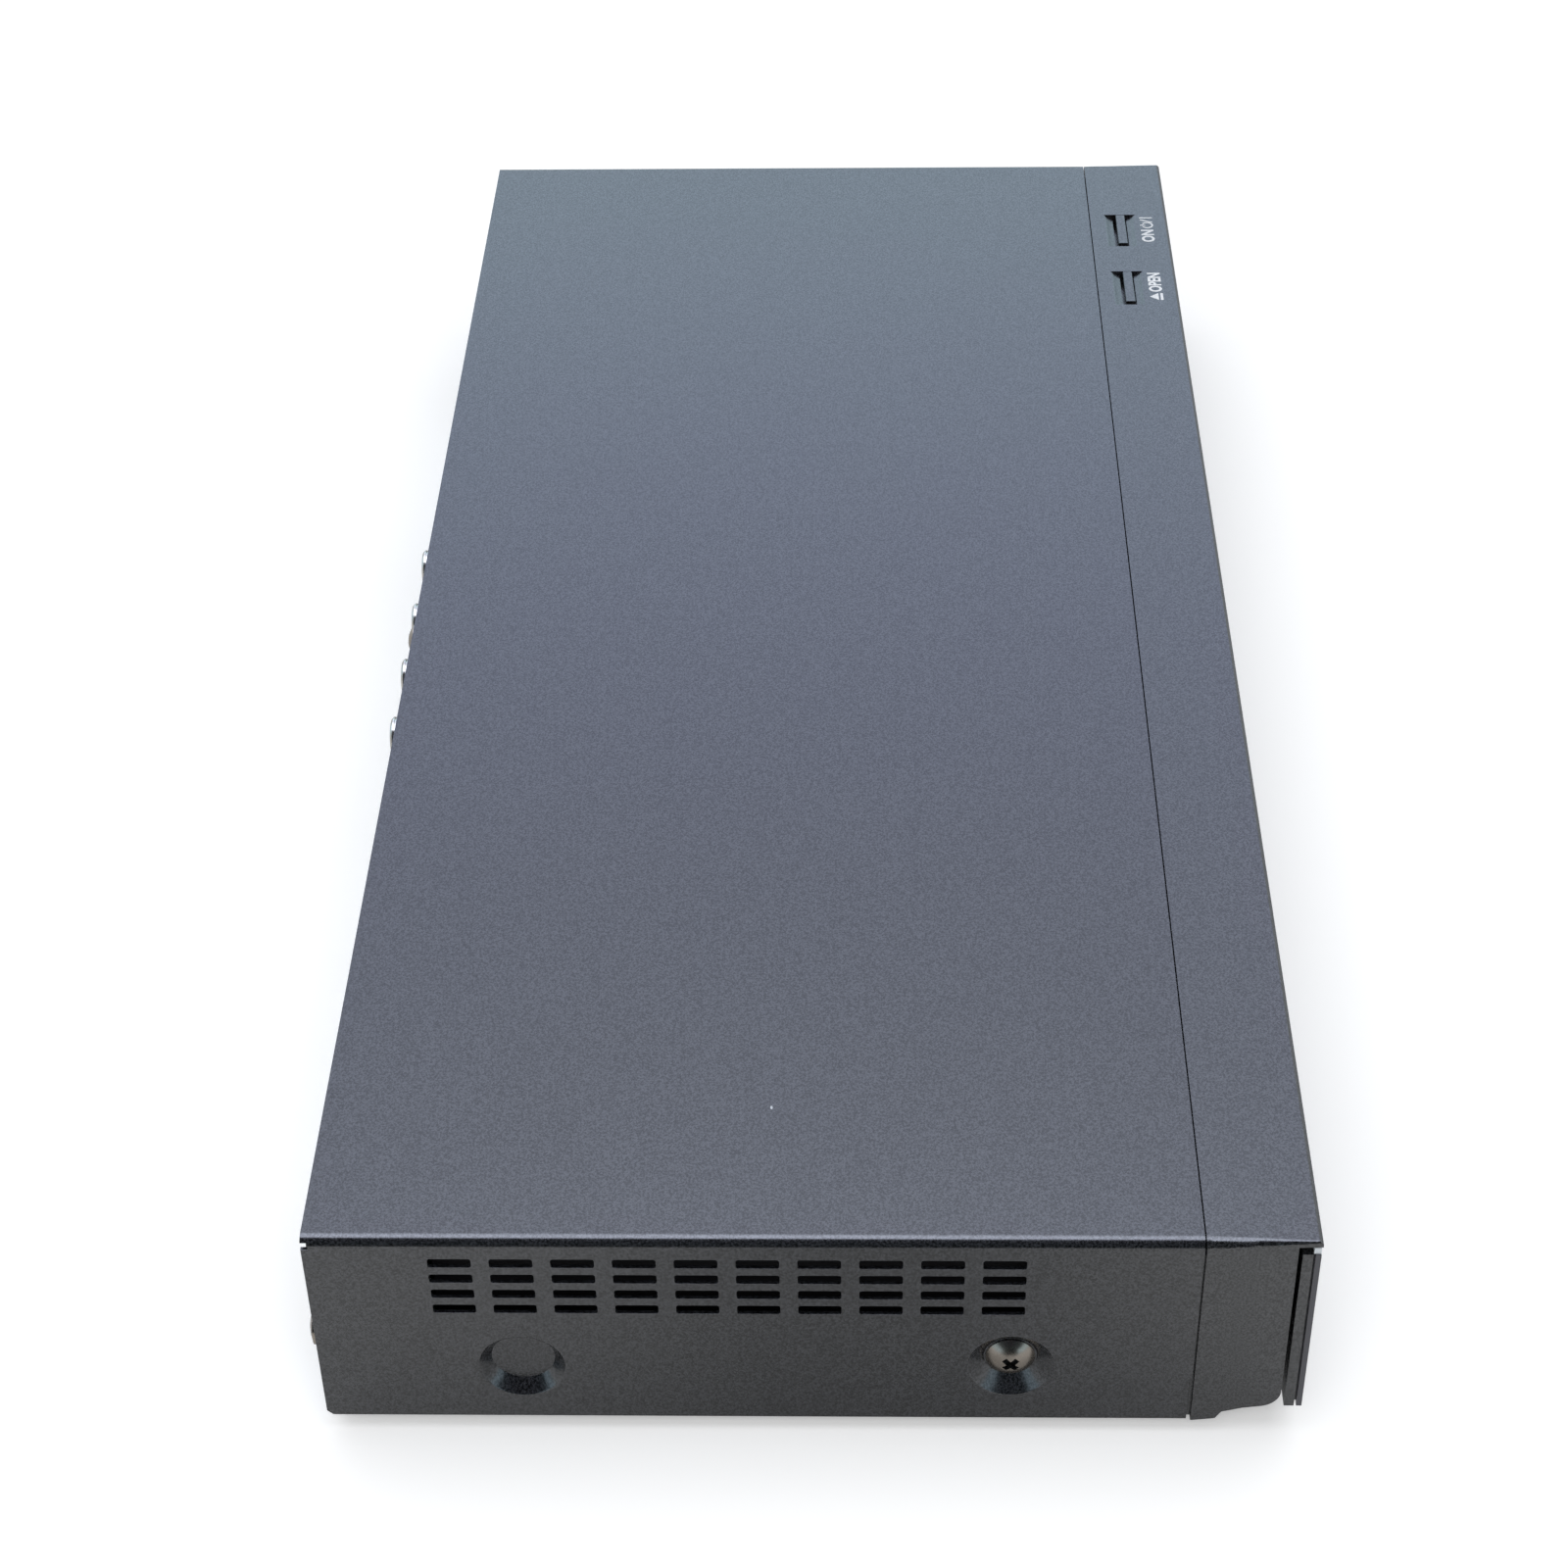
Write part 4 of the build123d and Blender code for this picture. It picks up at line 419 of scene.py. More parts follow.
@dataclass(frozen=True)
class CrossScrew(TurnedMetal):
    """A domed screw head in the case's side whose cross recess is painted near-black and matt as shade.
    """

    middle_y: float = -0.0425
    middle_z: float = 0.0199
    reach: float = 0.0022
    tip: float = 0.21485
    dome: float = 0.0065
    depth: float = 0.00014
    # Painted shade: the near-black colour of the cross recess.
    recess_shade: Colour = (0.004, 0.004, 0.004)

    def shade(self, graph: Graph) -> Term:
        """Return the screw's shader.

        Args:
            graph: The material's graph.

        Returns:
            The shader's term.
        """
        x, y, z = graph.axes(graph.place())
        across, upward = y - self.middle_y, z - self.middle_z
        square = across * across + upward * upward
        surface = self.tip - self.depth - square / (2.0 * self.dome)
        # The cross recess gets painted shade: near-black, matt and not metallic.
        inside = (x.absolute() < surface) * (square < self.reach ** 2)
        wear = graph.noise(320.0, 3.0)
        tint = graph.blend(wear, self.toned(0.86), self.colour)
        rough = wear * 0.16 + inside * 0.5 + (self.roughness - 0.08)
        tint = graph.blend(inside, tint, self.recess_shade)
        return self.principled(graph, tint, rough, {"Metallic": (1.0 - inside) * self.metallic})


@dataclass(frozen=True)
class CircuitBoard(Finish):
    """A lacquered board with tracks, pads and through holes."""

    track: Colour = (0.05, 0.26, 0.12)
    pad: Colour = (0.62, 0.6, 0.52)
    grid: float = 394.0

    def shade(self, graph: Graph) -> Term:
        """Return the board's shader.

        Args:
            graph: The material's graph.

        Returns:
            The shader's term.
        """
        cells = graph.node("ShaderNodeTexVoronoi", {"distance": "CHEBYCHEV", "feature": "F1"},
                           {"Vector": graph.place(), "Scale": 150.0, "Randomness": 0.9}, "Distance")
        wave = graph.node("ShaderNodeMath", {"operation": "FRACT"}, {0: cells * 6.0})
        tracks = wave.smooth(0.3, 0.42) * (1.0 - wave.smooth(0.58, 0.7))
        dots = graph.node("ShaderNodeTexVoronoi", {"feature": "F1"},
                          {"Vector": graph.place(), "Scale": self.grid, "Randomness": 0.35}, "Distance")
        pads = 1.0 - dots.smooth(0.16, 0.22)
        tint = graph.blend(tracks, self.colour, self.track)
        tint = graph.blend(pads * 0.9, tint, self.pad)
        rough = pads * 0.15 + self.roughness
        return self.principled(graph, tint, rough, {"Normal": graph.bump(tracks + pads, 0.00003)})


@dataclass(frozen=True)
class FlatCable(Finish):
    """A flat cable with its conductors showing as fine lines."""

    pitch: float = 1000.0

    def shade(self, graph: Graph) -> Term:
        """Return the cable's shader.

        Args:
            graph: The material's graph.

        Returns:
            The shader's term.
        """
        x = graph.axes(graph.place())[0]
        wave = graph.node("ShaderNodeMath", {"operation": "SINE"}, {0: x * (2.0 * math.pi * self.pitch)})
        lines = wave.smooth(-0.2, 0.6)
        tint = graph.blend(lines, self.colour, self.toned(0.6))
        return self.principled(graph, tint, self.roughness, {"Normal": graph.bump(lines, 0.00008)})


class Finishes:
    """Every finish of the recorder, in one place."""

    cover = SatinCoat("cover_satin_coat", (0.0052, 0.0056, 0.0068), 0.215, 0.0, 1.0, 1.64)
    bezel = SatinCoat("bezel_satin_plastic", (0.0056, 0.006, 0.0068), 0.235, 0.0, 1.0, 1.64)
    key = SatinCoat("key_satin_plastic", (0.0066, 0.007, 0.0076), 0.25, 0.0, 1.0, 1.64)
    black = GrainedPlastic("black_moulding", (0.012, 0.012, 0.013), 0.42, 0.0, 0.5)
    drive = GrainedPlastic("drive_moulding", (0.02, 0.02, 0.022), 0.5, grain=900.0, depth=0.00001)
    tray = GrainedPlastic("tray_moulding", (0.022, 0.022, 0.024), 0.4, specular=0.6, grain=2600.0,
                          depth=0.000005)
    window = SmokedAcrylic("smoked_window", (0.008, 0.008, 0.0095), 0.07, specular=0.55, alpha=0.8)
    phosphor = Finish("unlit_segments", (0.085, 0.11, 0.1), 0.4)
    gold = TurnedMetal("gold_contacts", (0.83, 0.6, 0.26), 0.25, 1.0)
    yellow = GrainedPlastic("yellow_plastic", (0.72, 0.5, 0.03), 0.4)
    white = GrainedPlastic("white_plastic", (0.72, 0.72, 0.7), 0.4)
    red = GrainedPlastic("red_plastic", (0.5, 0.02, 0.018), 0.4)
    clear = SmokedAcrylic("clear_light_bar", (0.75, 0.8, 0.84), 0.1, specular=0.6, alpha=0.7)
    steel = PlatedSteel("plated_steel", (0.56, 0.57, 0.58), 0.38, 1.0)
    tin = PlatedSteel("tin_plate", (0.68, 0.69, 0.7), 0.26, 1.0, lines=(900.0, 900.0, 20.0))
    plain_steel = TurnedMetal("plain_steel", (0.5, 0.5, 0.52), 0.35, 1.0)
    nickel = TurnedMetal("nickel_plate", (0.66, 0.63, 0.58), 0.24, 1.0)
    brass = TurnedMetal("turned_brass", (0.68, 0.48, 0.2), 0.3, 1.0)
    screw = TurnedMetal("bronzed_screws", (0.4, 0.355, 0.305), 0.26, 1.0)
    cross_screw = CrossScrew("side_screws", (0.4, 0.355, 0.305), 0.26, 1.0)
    aluminium = TurnedMetal("cast_aluminium", (0.5, 0.51, 0.53), 0.42, 1.0)
    anodised = TurnedMetal("anodised_aluminium", (0.16, 0.165, 0.17), 0.45, 0.9)
    rubber = GrainedPlastic("foot_rubber", (0.014, 0.014, 0.014), 0.8, specular=0.3, grain=1200.0,
                            depth=0.00002)
    natural = GrainedPlastic("natural_plastic", (0.62, 0.6, 0.54), 0.45, 0.0, 0.5)
    epoxy = GrainedPlastic("chip_epoxy", (0.016, 0.016, 0.018), 0.6, specular=0.4, grain=3000.0,
                           depth=0.000008)
    supply = GrainedPlastic("supply_parts", (0.05, 0.05, 0.07), 0.4, 0.0, 0.5)
    board = CircuitBoard("green_board", (0.012, 0.14, 0.05), 0.32)
    cable = FlatCable("flat_cable", (0.74, 0.74, 0.76), 0.4)
    ink = Finish("legend_ink", (0.78, 0.8, 0.82), 0.5)
    lens = SmokedAcrylic("pickup_lens_glass", (0.25, 0.35, 0.55), 0.04, specular=0.8, alpha=0.7)


class Bench:
    """Mesh work by operators, on selected objects."""

    @staticmethod
    def clear() -> None:
        """Leave edit mode and deselect everything."""
        if bpy.context.object is not None and bpy.context.object.mode != "OBJECT":
            bpy.ops.object.mode_set(mode="OBJECT")
        bpy.ops.object.select_all(action="DESELECT")

    @staticmethod
    def select(pieces: Sequence[bpy.types.Object]) -> None:
        """Select only some pieces, with the first one active.

        Args:
            pieces: The objects to select.
        """
        Bench.clear()
        for piece in pieces:
            piece.select_set(True)
        bpy.context.view_layer.objects.active = pieces[0]

    @staticmethod
    def soften(piece: bpy.types.Object, width: float) -> None:
        """Round the sharp edges of a welded copy that lie in the case's left or right face.

        Args:
            piece: The copy, the active object.
            width: The width of the rounding in metres.
        """
        bpy.ops.object.mode_set(mode="EDIT")
        bpy.ops.mesh.select_all(action="SELECT")
        bpy.ops.mesh.dissolve_limited(angle_limit=math.radians(0.05))
        bpy.ops.mesh.select_mode(type="EDGE")
        bpy.ops.mesh.select_all(action="DESELECT")
        bpy.ops.mesh.edges_select_sharp(sharpness=math.radians(50.0))
        bpy.ops.object.mode_set(mode="OBJECT")
        corners = piece.data.vertices
        inside = [abs(corner.co.x) > SIDE_FACE for corner in corners]
        for edge in piece.data.edges:
            edge.select = edge.select and inside[edge.vertices[0]] and inside[edge.vertices[1]]
        for corner in corners:
            corner.select = False
        for face in piece.data.polygons:
            face.select = False
        bpy.ops.object.mode_set(mode="EDIT")
        bpy.ops.mesh.select_mode(type="EDGE")
        bpy.ops.mesh.bevel(offset=width, segments=2, affect="EDGES", clamp_overlap=False)
        bpy.ops.mesh.select_mode(type="VERT")
        bpy.ops.object.mode_set(mode="OBJECT")

    @staticmethod
    def smoothed(frame: dict, node: str, body: str, slot: str, width: float = 0.0) -> None:
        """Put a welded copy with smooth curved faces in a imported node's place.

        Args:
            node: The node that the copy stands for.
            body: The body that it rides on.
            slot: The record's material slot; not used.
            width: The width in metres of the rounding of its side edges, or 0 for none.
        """
        source = frame["nodes"][node]
        piece = bpy.data.objects.new(node + "_shell", source.data.copy())
        bpy.context.collection.objects.link(piece)
        Bench.select([piece])
        bpy.ops.object.mode_set(mode="EDIT")
        bpy.ops.mesh.select_all(action="SELECT")
        bpy.ops.mesh.remove_doubles(threshold=WELD_GAP)
        bpy.ops.object.mode_set(mode="OBJECT")
        bpy.ops.mesh.customdata_custom_splitnormals_clear()
        if width:
            Bench.soften(piece, width)
        bpy.ops.object.shade_smooth_by_angle(angle=SMOOTH_ANGLE)
        modifier = piece.modifiers.new("even_faces", "WEIGHTED_NORMAL")
        modifier.keep_sharp = True
        bpy.ops.object.modifier_apply(modifier=modifier.name)
        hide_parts(node)
        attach(piece, body)
        log.info("piece %s", piece.name)

    @staticmethod
    def bevel(piece: bpy.types.Object, width: float) -> None:
        """Round a piece's edges with an applied modifier.

        Args:
            piece: The object to round.
            width: The width of the rounding in metres.
        """
        bpy.context.view_layer.objects.active = piece
        modifier = piece.modifiers.new("round", "BEVEL")
        modifier.width = width
        modifier.segments = 2
        modifier.limit_method = "ANGLE"
        bpy.ops.object.modifier_apply(modifier=modifier.name)

    @staticmethod
    def bar(middle: Point, size: Point, rounding: float,
            turn: Point = (0.0, 0.0, 0.0)) -> bpy.types.Object:
        """Return a bar with rounded edges.

        Args:
            middle: The bar's middle in metres.
            size: Its length along each axis before the turn.
            rounding: The width of the rounding.
            turn: The turn about X, Y and Z in degrees.

        Returns:
            The bar.
        """
        Bench.clear()
        bpy.ops.mesh.primitive_cube_add(size=1.0, location=middle)
        made = bpy.context.object
        made.scale = size
        bpy.ops.object.transform_apply(location=False, rotation=False, scale=True)
        Bench.bevel(made, rounding)
        made.rotation_euler = tuple(math.radians(part) for part in turn)
        return made

    @staticmethod
    def ring(middle: Point, radii: Span, span: Span, steps: int = 32) -> bpy.types.Object:
        """Return a ring or sleeve whose axis is along Y, spun from a rectangle's outline.

        Args:
            middle: A point of the axis.
            radii: The inner and the outer radius.
            span: The ring's ends along Y.
            steps: How many flats the ring has.

        Returns:
            The ring.
        """
        Bench.clear()
        inner, outer = radii
        wall, length = outer - inner, span[1] - span[0]
        place = (middle[0] + (inner + outer) / 2, sum(span) / 2, middle[2])
        bpy.ops.mesh.primitive_plane_add(size=1.0, location=place)
        made = bpy.context.object
        made.scale = (wall, length, 1.0)
        bpy.ops.object.transform_apply(location=True, rotation=True, scale=True)
        bpy.ops.object.mode_set(mode="EDIT")
        bpy.ops.mesh.select_all(action="SELECT")
        bpy.ops.mesh.bevel(offset=min(wall, length) * 0.22, segments=2, affect="VERTICES")
        bpy.ops.mesh.select_all(action="SELECT")
        bpy.ops.mesh.delete(type="ONLY_FACE")
        bpy.ops.mesh.select_all(action="SELECT")
        bpy.ops.mesh.spin(steps=steps, angle=2.0 * math.pi, center=middle, axis=(0.0, 1.0, 0.0))
        bpy.ops.mesh.select_all(action="SELECT")
        bpy.ops.mesh.remove_doubles(threshold=WELD_GAP)
        bpy.ops.mesh.normals_make_consistent(inside=False)
        bpy.ops.object.mode_set(mode="OBJECT")
        return made

    @staticmethod
    def hand_over(piece: bpy.types.Object, finish: Finish, body: str, slot: str) -> None:
        """Put a piece's place into its mesh, shade and dress it, and let it ride.

        Args:
            piece: The piece.
            finish: Its finish.
            body: The body that it rides on.
            slot: The record's material slot; not used.
        """
        Bench.select([piece])
        bpy.ops.object.transform_apply(location=True, rotation=True, scale=True)
        bpy.ops.object.shade_smooth_by_angle(angle=SMOOTH_ANGLE)
        piece.data.materials.clear()
        piece.data.materials.append(finish.material())
        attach(piece, body)
        log.info("piece %s", piece.name)

    @staticmethod
    def join(pieces: Sequence[bpy.types.Object], name: str) -> bpy.types.Object:
        """Join pieces into one object.

        Args:
            pieces: The objects to join.
            name: The joined object's name.

        Returns:
            The joined object.
        """
        Bench.select(pieces)
        bpy.ops.object.join()
        pieces[0].name = name
        return pieces[0]


@dataclass
class KeyLegends:
    """The printed marks in front of the two keys, which read from the front."""

    surface: float = 0.0555
    ink: float = 0.00003
    low_y: float = -0.0967
    high_y: float = -0.0930
    stroke: float = 0.0005
    weld_gap: float = 0.0000001
    power_word: Span = (0.1683, 0.1752)
    power_ring: float = 0.1779
    power_slash: float = 0.1803
    power_bar: float = 0.1822
    eject_sign: Span = (0.1359, 0.1396)
    eject_word: Span = (0.1404, 0.1507)

    @property
    def middle_y(self) -> float:
        """Return the middle of the line of print."""
        return (self.low_y + self.high_y) / 2

    @property
    def height(self) -> float:
        """Return the height of the print."""
        return self.high_y - self.low_y

    @property
    def print_z(self) -> float:
        """Return the middle of the ink, which is sunk a little into the bezel."""
        return self.surface + self.ink / 6

    def _bar(self, x: float, y: float, length: float, width: float,
             turn: float = 0.0) -> bpy.types.Object:
        """Return a flat printed bar with soft edges, turned about Z by an angle in degrees."""
        size = (length, width, self.ink)
        return Bench.bar((x, y, self.print_z), size, self.ink * 0.3, (0.0, 0.0, turn))

    def _word(self, text: str, span: Span) -> bpy.types.Object:
        """Return a word that fills a span along X.

        Args:
            text: The generic word.
            span: Its ends along X.

        Returns:
            The word as a mesh.
        """
        Bench.clear()
        bpy.ops.object.text_add(location=(0.0, 0.0, 0.0))
        word = bpy.context.object
        word.data.body = text
        word.data.size = self.height
        word.data.offset = self.height * 0.03
        word.data.resolution_u = 4
        word.data.extrude = self.ink / 2
        bpy.ops.object.convert(target="MESH")
        word = bpy.context.object
        low = [min(vertex.co[axis] for vertex in word.data.vertices) for axis in range(2)]
        high = [max(vertex.co[axis] for vertex in word.data.vertices) for axis in range(2)]
        wide = (span[1] - span[0]) / (high[0] - low[0])
        tall = self.height / (high[1] - low[1])
        word.scale = (wide, tall, 1.0)
        word.location = (span[0] - low[0] * wide, self.low_y - low[1] * tall, self.print_z)
        bpy.ops.object.transform_apply(location=True, rotation=True, scale=True)
        bpy.ops.object.mode_set(mode="EDIT")
        bpy.ops.mesh.select_all(action="SELECT")
        bpy.ops.mesh.remove_doubles(threshold=self.weld_gap)
        bpy.ops.object.mode_set(mode="OBJECT")
        return word

    def _ring(self, radius: float, gap: float) -> bpy.types.Object:
        """Return the power mark's open ring, spun from a small rectangle.

        Args:
            radius: The ring's radius.
            gap: The open part in degrees, at the back.

        Returns:
            The ring.
        """
        Bench.clear()
        middle = Vector((self.power_ring, self.middle_y - radius * 0.12, self.print_z))
        bpy.ops.mesh.primitive_plane_add(size=1.0, location=middle + Vector((radius, 0.0, 0.0)),
                                         rotation=(math.pi / 2, 0.0, 0.0))
        ring = bpy.context.object
        ring.scale = (self.stroke, self.ink, 1.0)
        bpy.ops.object.transform_apply(location=True, rotation=True, scale=True)
        turn = Matrix.Rotation(math.radians(90.0 + gap / 2), 4, "Z")
        ring.data.transform(Matrix.Translation(middle) @ turn @ Matrix.Translation(-middle))
        bpy.ops.object.mode_set(mode="EDIT")
        bpy.ops.mesh.select_all(action="SELECT")
        bpy.ops.mesh.spin(steps=28, angle=-math.radians(360.0 - gap), center=middle, axis=(0, 0, 1))
        bpy.ops.mesh.select_all(action="SELECT")
        bpy.ops.mesh.remove_doubles(threshold=self.weld_gap)
        bpy.ops.mesh.normals_make_consistent(inside=False)
        bpy.ops.object.mode_set(mode="OBJECT")
        return ring

    def _triangle(self) -> bpy.types.Object:
        """Return the eject mark's triangle, which points to the back.

        Returns:
            The triangle.
        """
        Bench.clear()
        x = sum(self.eject_sign) / 2
        bpy.ops.mesh.primitive_cylinder_add(vertices=3, radius=1.0, depth=self.ink,
                                            location=(0.0, 0.0, 0.0))
        triangle = bpy.context.object
        corners = [vertex.co for vertex in triangle.data.vertices]
        low = min(corner.y for corner in corners)
        high = max(corner.y for corner in corners)
        wide = max(corner.x for corner in corners) - min(corner.x for corner in corners)
        tall = self.height * 0.66 / (high - low)
        triangle.scale = ((self.eject_sign[1] - self.eject_sign[0]) / wide, tall, 1.0)
        triangle.location = (x, self.high_y - high * tall, self.print_z)
        bpy.ops.object.transform_apply(location=True, rotation=True, scale=True)
        Bench.bevel(triangle, self.ink * 0.3)
        return triangle

    def build(self) -> None:
        """Print both lines of marks on the bezel's top."""
        tall = self.height
        stem = self._bar(self.power_ring, self.middle_y + tall * 0.3, self.stroke, tall * 0.4)
        slash = self._bar(self.power_slash, self.middle_y, tall, self.stroke, 66.0)
        upright = self._bar(self.power_bar, self.middle_y, self.stroke, tall)
        word = self._word("ON", self.power_word)
        power = Bench.join([word, self._ring(tall * 0.4, 70.0), stem, slash, upright], "power_legend")
        width = self.eject_sign[1] - self.eject_sign[0]
        line = self._bar(sum(self.eject_sign) / 2, self.low_y + tall * 0.1, width, tall * 0.2)
        word = self._word("OPEN", self.eject_word)
        eject = Bench.join([word, self._triangle(), line], "eject_legend")
        for piece in (power, eject):
            Bench.hand_over(piece, Finishes.ink, "casing", "bezel_plastic")


class Assembly:
    """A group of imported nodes: their finishes, and welded copies as (node, body, slot, rounding)."""

    looks: tuple[tuple[Finish, tuple[str, ...]], ...] = ()
    shells: tuple[tuple[str, str, str, float], ...] = ()

    def dress(self, frame: dict) -> None:
        """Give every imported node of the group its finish.
        """
        for finish, nodes in self.looks:
            for name in nodes:
                materials = frame["nodes"][name].data.materials
                materials.clear()
                materials.append(finish.material())
        log.info("%s dressed", type(self).__name__)

    def build(self, frame: dict) -> None:
        """Give the group's curved parts even shading.
        """
        for node, body, slot, width in self.shells:
            Bench.smoothed(frame, node, body, slot, width)


class Casing(Assembly):
    """The steel case, its feet and screws."""

    looks = (
        (Finishes.cover, ("top_cover",)),
        (Finishes.steel, ("chassis_base", "rear_panel", "disk_bracket")),
        (Finishes.screw, ("rear_screws",)),
        (Finishes.cross_screw, ("side_screws",)),
        (Finishes.plain_steel, ("board_screws", "board_posts")),
        (Finishes.black, ("feet",)),
        (Finishes.rubber, ("foot_pads",)),
    )
    shells = (
        ("top_cover", "casing", "cover_coat", 0.00014),
        ("side_screws", "casing", "black_screws", 0.0),
        ("rear_screws", "casing", "black_screws", 0.0),
        ("feet", "casing", "foot_plastic", 0.0),
    )


@dataclass
class DisplayDigits:
    """The unlit clock digits that stand on the display's face behind the window."""

    count: int = 6
    pitch: float = 0.0095
    height: float = 0.0078
    width: float = 0.0046
    stroke: float = 0.0008
    thick: float = 0.00008

    def _segments(self, x: float, z: float) -> list[tuple[Point, Point]]:
        """Return the middle and size of a digit's seven segments.

        Args:
            x: The digit's middle along X.
            z: Its middle along Z.

        Returns:
            Pairs of a middle and a size, in the face's own plane.
        """
        half = self.height / 2
        long, tall = self.width - self.stroke, half - self.stroke
        flat = [((x, 0.0, z + lift), (long, self.thick, self.stroke)) for lift in (-half, 0.0, half)]
        upright = [((x + side * self.width / 2, 0.0, z + lift), (self.stroke, self.thick, tall))
                   for side in (-1, 1) for lift in (-half / 2, half / 2)]
        return flat + upright

    def build(self) -> None:
        """Stand the digits and the dots on the display's face."""
        low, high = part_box("display_unit")
        edge = self.thick * 0.4
        face = low.y - edge
        z = (low.z + high.z) / 2
        start = (low.x + high.x) / 2 - self.pitch * (self.count - 1) / 2
        bars = []
        for number in range(self.count):
            for middle, size in self._segments(start + self.pitch * number, z):
                bars.append(Bench.bar((middle[0], face, middle[2]), size, edge))
        for gap in (1, 3):
            x = start + self.pitch * (gap + 0.5)
            for lift in (-0.25, 0.25):
                dot = (x, face, z + self.height * lift)
                bars.append(Bench.bar(dot, (self.stroke, self.thick, self.stroke), edge))
        digits = Bench.join(bars, "display_digits")
        Bench.hand_over(digits, Finishes.phosphor, "casing", "black_plastic")


@dataclass
class Front(Assembly):
    """The bezel, keys, window, tray lid and flap."""

    legends: KeyLegends = field(default_factory=KeyLegends)
    digits: DisplayDigits = field(default_factory=DisplayDigits)
    looks = (
        (Finishes.bezel, ("front_bezel",)),
        (Finishes.key, ("power_key", "eject_key", "front_backing")),
        (Finishes.natural, ("power_plunger", "eject_plunger")),
        (Finishes.black, ("tray_lid", "flap_door", "switches", "display_unit")),
        (Finishes.window, ("front_window", "tray_lid_window", "flap_window")),
        (Finishes.clear, ("light_strip",)),
        (Finishes.board, ("key_board", "front_board")),
        (Finishes.tin, ("card_socket", "front_usb")),
    )
    shells = (
        ("front_bezel", "casing", "bezel_plastic", 0.0002),
        ("power_key", "power", "key_plastic", 0.0),
        ("eject_key", "eject", "key_plastic", 0.0),
    )

    def build(self, frame: dict) -> None:
        """Give the bezel and keys even shading, and add the marks and the digits.
        """
        super().build(frame)
        self.legends.build()
        self.digits.build()


class DiscDrive(Assembly):
    """The disc drive with its tray, gears, traverse and pickup."""

    looks = (
        (Finishes.drive, ("drive_chassis", "disc_clamper", "lift_slider", "pickup_sled", "turntable")),
        (Finishes.tray, ("disc_tray",)),
        (Finishes.steel, ("drive_cover", "traverse_frame")),
        (Finishes.natural, ("tray_gear", "pulley_gear")),
        (Finishes.brass, ("motor_pulley",)),
        (Finishes.rubber, ("loading_belt",)),
        (Finishes.plain_steel, ("loading_motor", "sled_motor", "spindle_motor", "guide_rods",
                                "lead_screw")),
        (Finishes.lens, ("pickup_lens",)),
    )


@dataclass
class RearSockets:
    """The metal and coloured parts of the sockets at the back."""

    face: float = 0.094
    flange: float = 0.001
    overlap: float = 0.0001
    jack_z: float = 0.0201
    jack_radius: float = 0.00415
    jack_bore: float = 0.0017
    jack_end: float = 0.1001
    first_jack: float = -0.188
    jack_pitch: float = 0.013
    washer_width: float = 0.0011
    washer_thick: float = 0.0003
    sleeve_past: float = 0.0003
    sleeve_inside: float = 0.0004
    insert_inside: float = 0.0006
    network_x: float = -0.099
    contact_count: int = 8
    contact_pitch: float = 0.00102
    contact_place: Span = (0.0882, 0.01915)
    contact_size: Point = (0.00035, 0.0088, 0.00035)
    contact_slope: float = -17.0
    comb_place: Span = (0.0845, 0.0170)
    comb_size: Point = (0.0112, 0.0012, 0.0018)
    aerials: tuple[float, ...] = (-0.028, -0.0045, 0.019, 0.0425)
    aerial_z: float = 0.031
    aerial_face: float = 0.1005
    aerial_depth: float = 0.004
    aerial_radii: Point = (0.00095, 0.0012, 0.0036)

    def _jack(self, number: int, finish: Finish) -> None:
        """Put the colour ring and the plated sleeve on one round jack.

        Args:
            number: The jack's number, counted from the side.
            finish: The ring's finish.
        """
        middle = (self.first_jack + self.jack_pitch * number, self.face, self.jack_z)
        flange, radius, end = self.face + self.flange, self.jack_radius, self.jack_end
        washer = Bench.ring(middle, (radius + self.overlap, radius + self.washer_width),
                            (flange, flange + self.washer_thick))
        insert = Bench.ring(middle, (self.jack_bore, radius - self.insert_inside),
                            (end - self.overlap, end + self.overlap * 2))
        colour = Bench.join([washer, insert], f"jack_colour_{number + 1}")
        Bench.hand_over(colour, finish, "casing", "jack_plastic")
        sleeve = Bench.ring(middle, (radius - self.sleeve_inside, radius + self.overlap),
                            (flange + self.overlap, end + self.sleeve_past))
        sleeve.name = f"jack_sleeve_{number + 1}"
        Bench.hand_over(sleeve, Finishes.nickel, "casing", "nickel")

    def _network_contacts(self) -> None:
        """Put sprung wires and their comb into the network socket."""
        wires = []
        for number in range(self.contact_count):
            x = self.network_x + (number - (self.contact_count - 1) / 2) * self.contact_pitch
            wires.append(Bench.bar((x, *self.contact_place), self.contact_size, self.overlap,
                                   (self.contact_slope, 0.0, 0.0)))
        Bench.hand_over(Bench.join(wires, "network_contacts"), Finishes.gold, "casing", "nickel")
        comb = Bench.bar((self.network_x, *self.comb_place), self.comb_size, self.overlap * 2)
        comb.name = "network_comb"
        Bench.hand_over(comb, Finishes.black, "casing", "socket_metal")

    def _aerial_contacts(self) -> None:
        """Put the insulator and the split contact into each aerial connector."""
        bore, neck, edge = self.aerial_radii
        face = self.aerial_face
        for name, finish, radii, span, steps in (
                ("aerial_contacts", Finishes.gold, (bore, neck), (face - self.aerial_depth, face), 20),
                ("aerial_insulators", Finishes.natural, (neck, edge),
                 (face - self.overlap, face + self.overlap), 28)):
            rings = [Bench.ring((x, face, self.aerial_z), radii, span, steps) for x in self.aerials]
            Bench.hand_over(Bench.join(rings, name), finish, "casing", "nickel")

    def build(self) -> None:
        """Add every part."""
        for number, finish in enumerate((Finishes.yellow, Finishes.white, Finishes.red)):
            self._jack(number, finish)
        self._network_contacts()
        self._aerial_contacts()


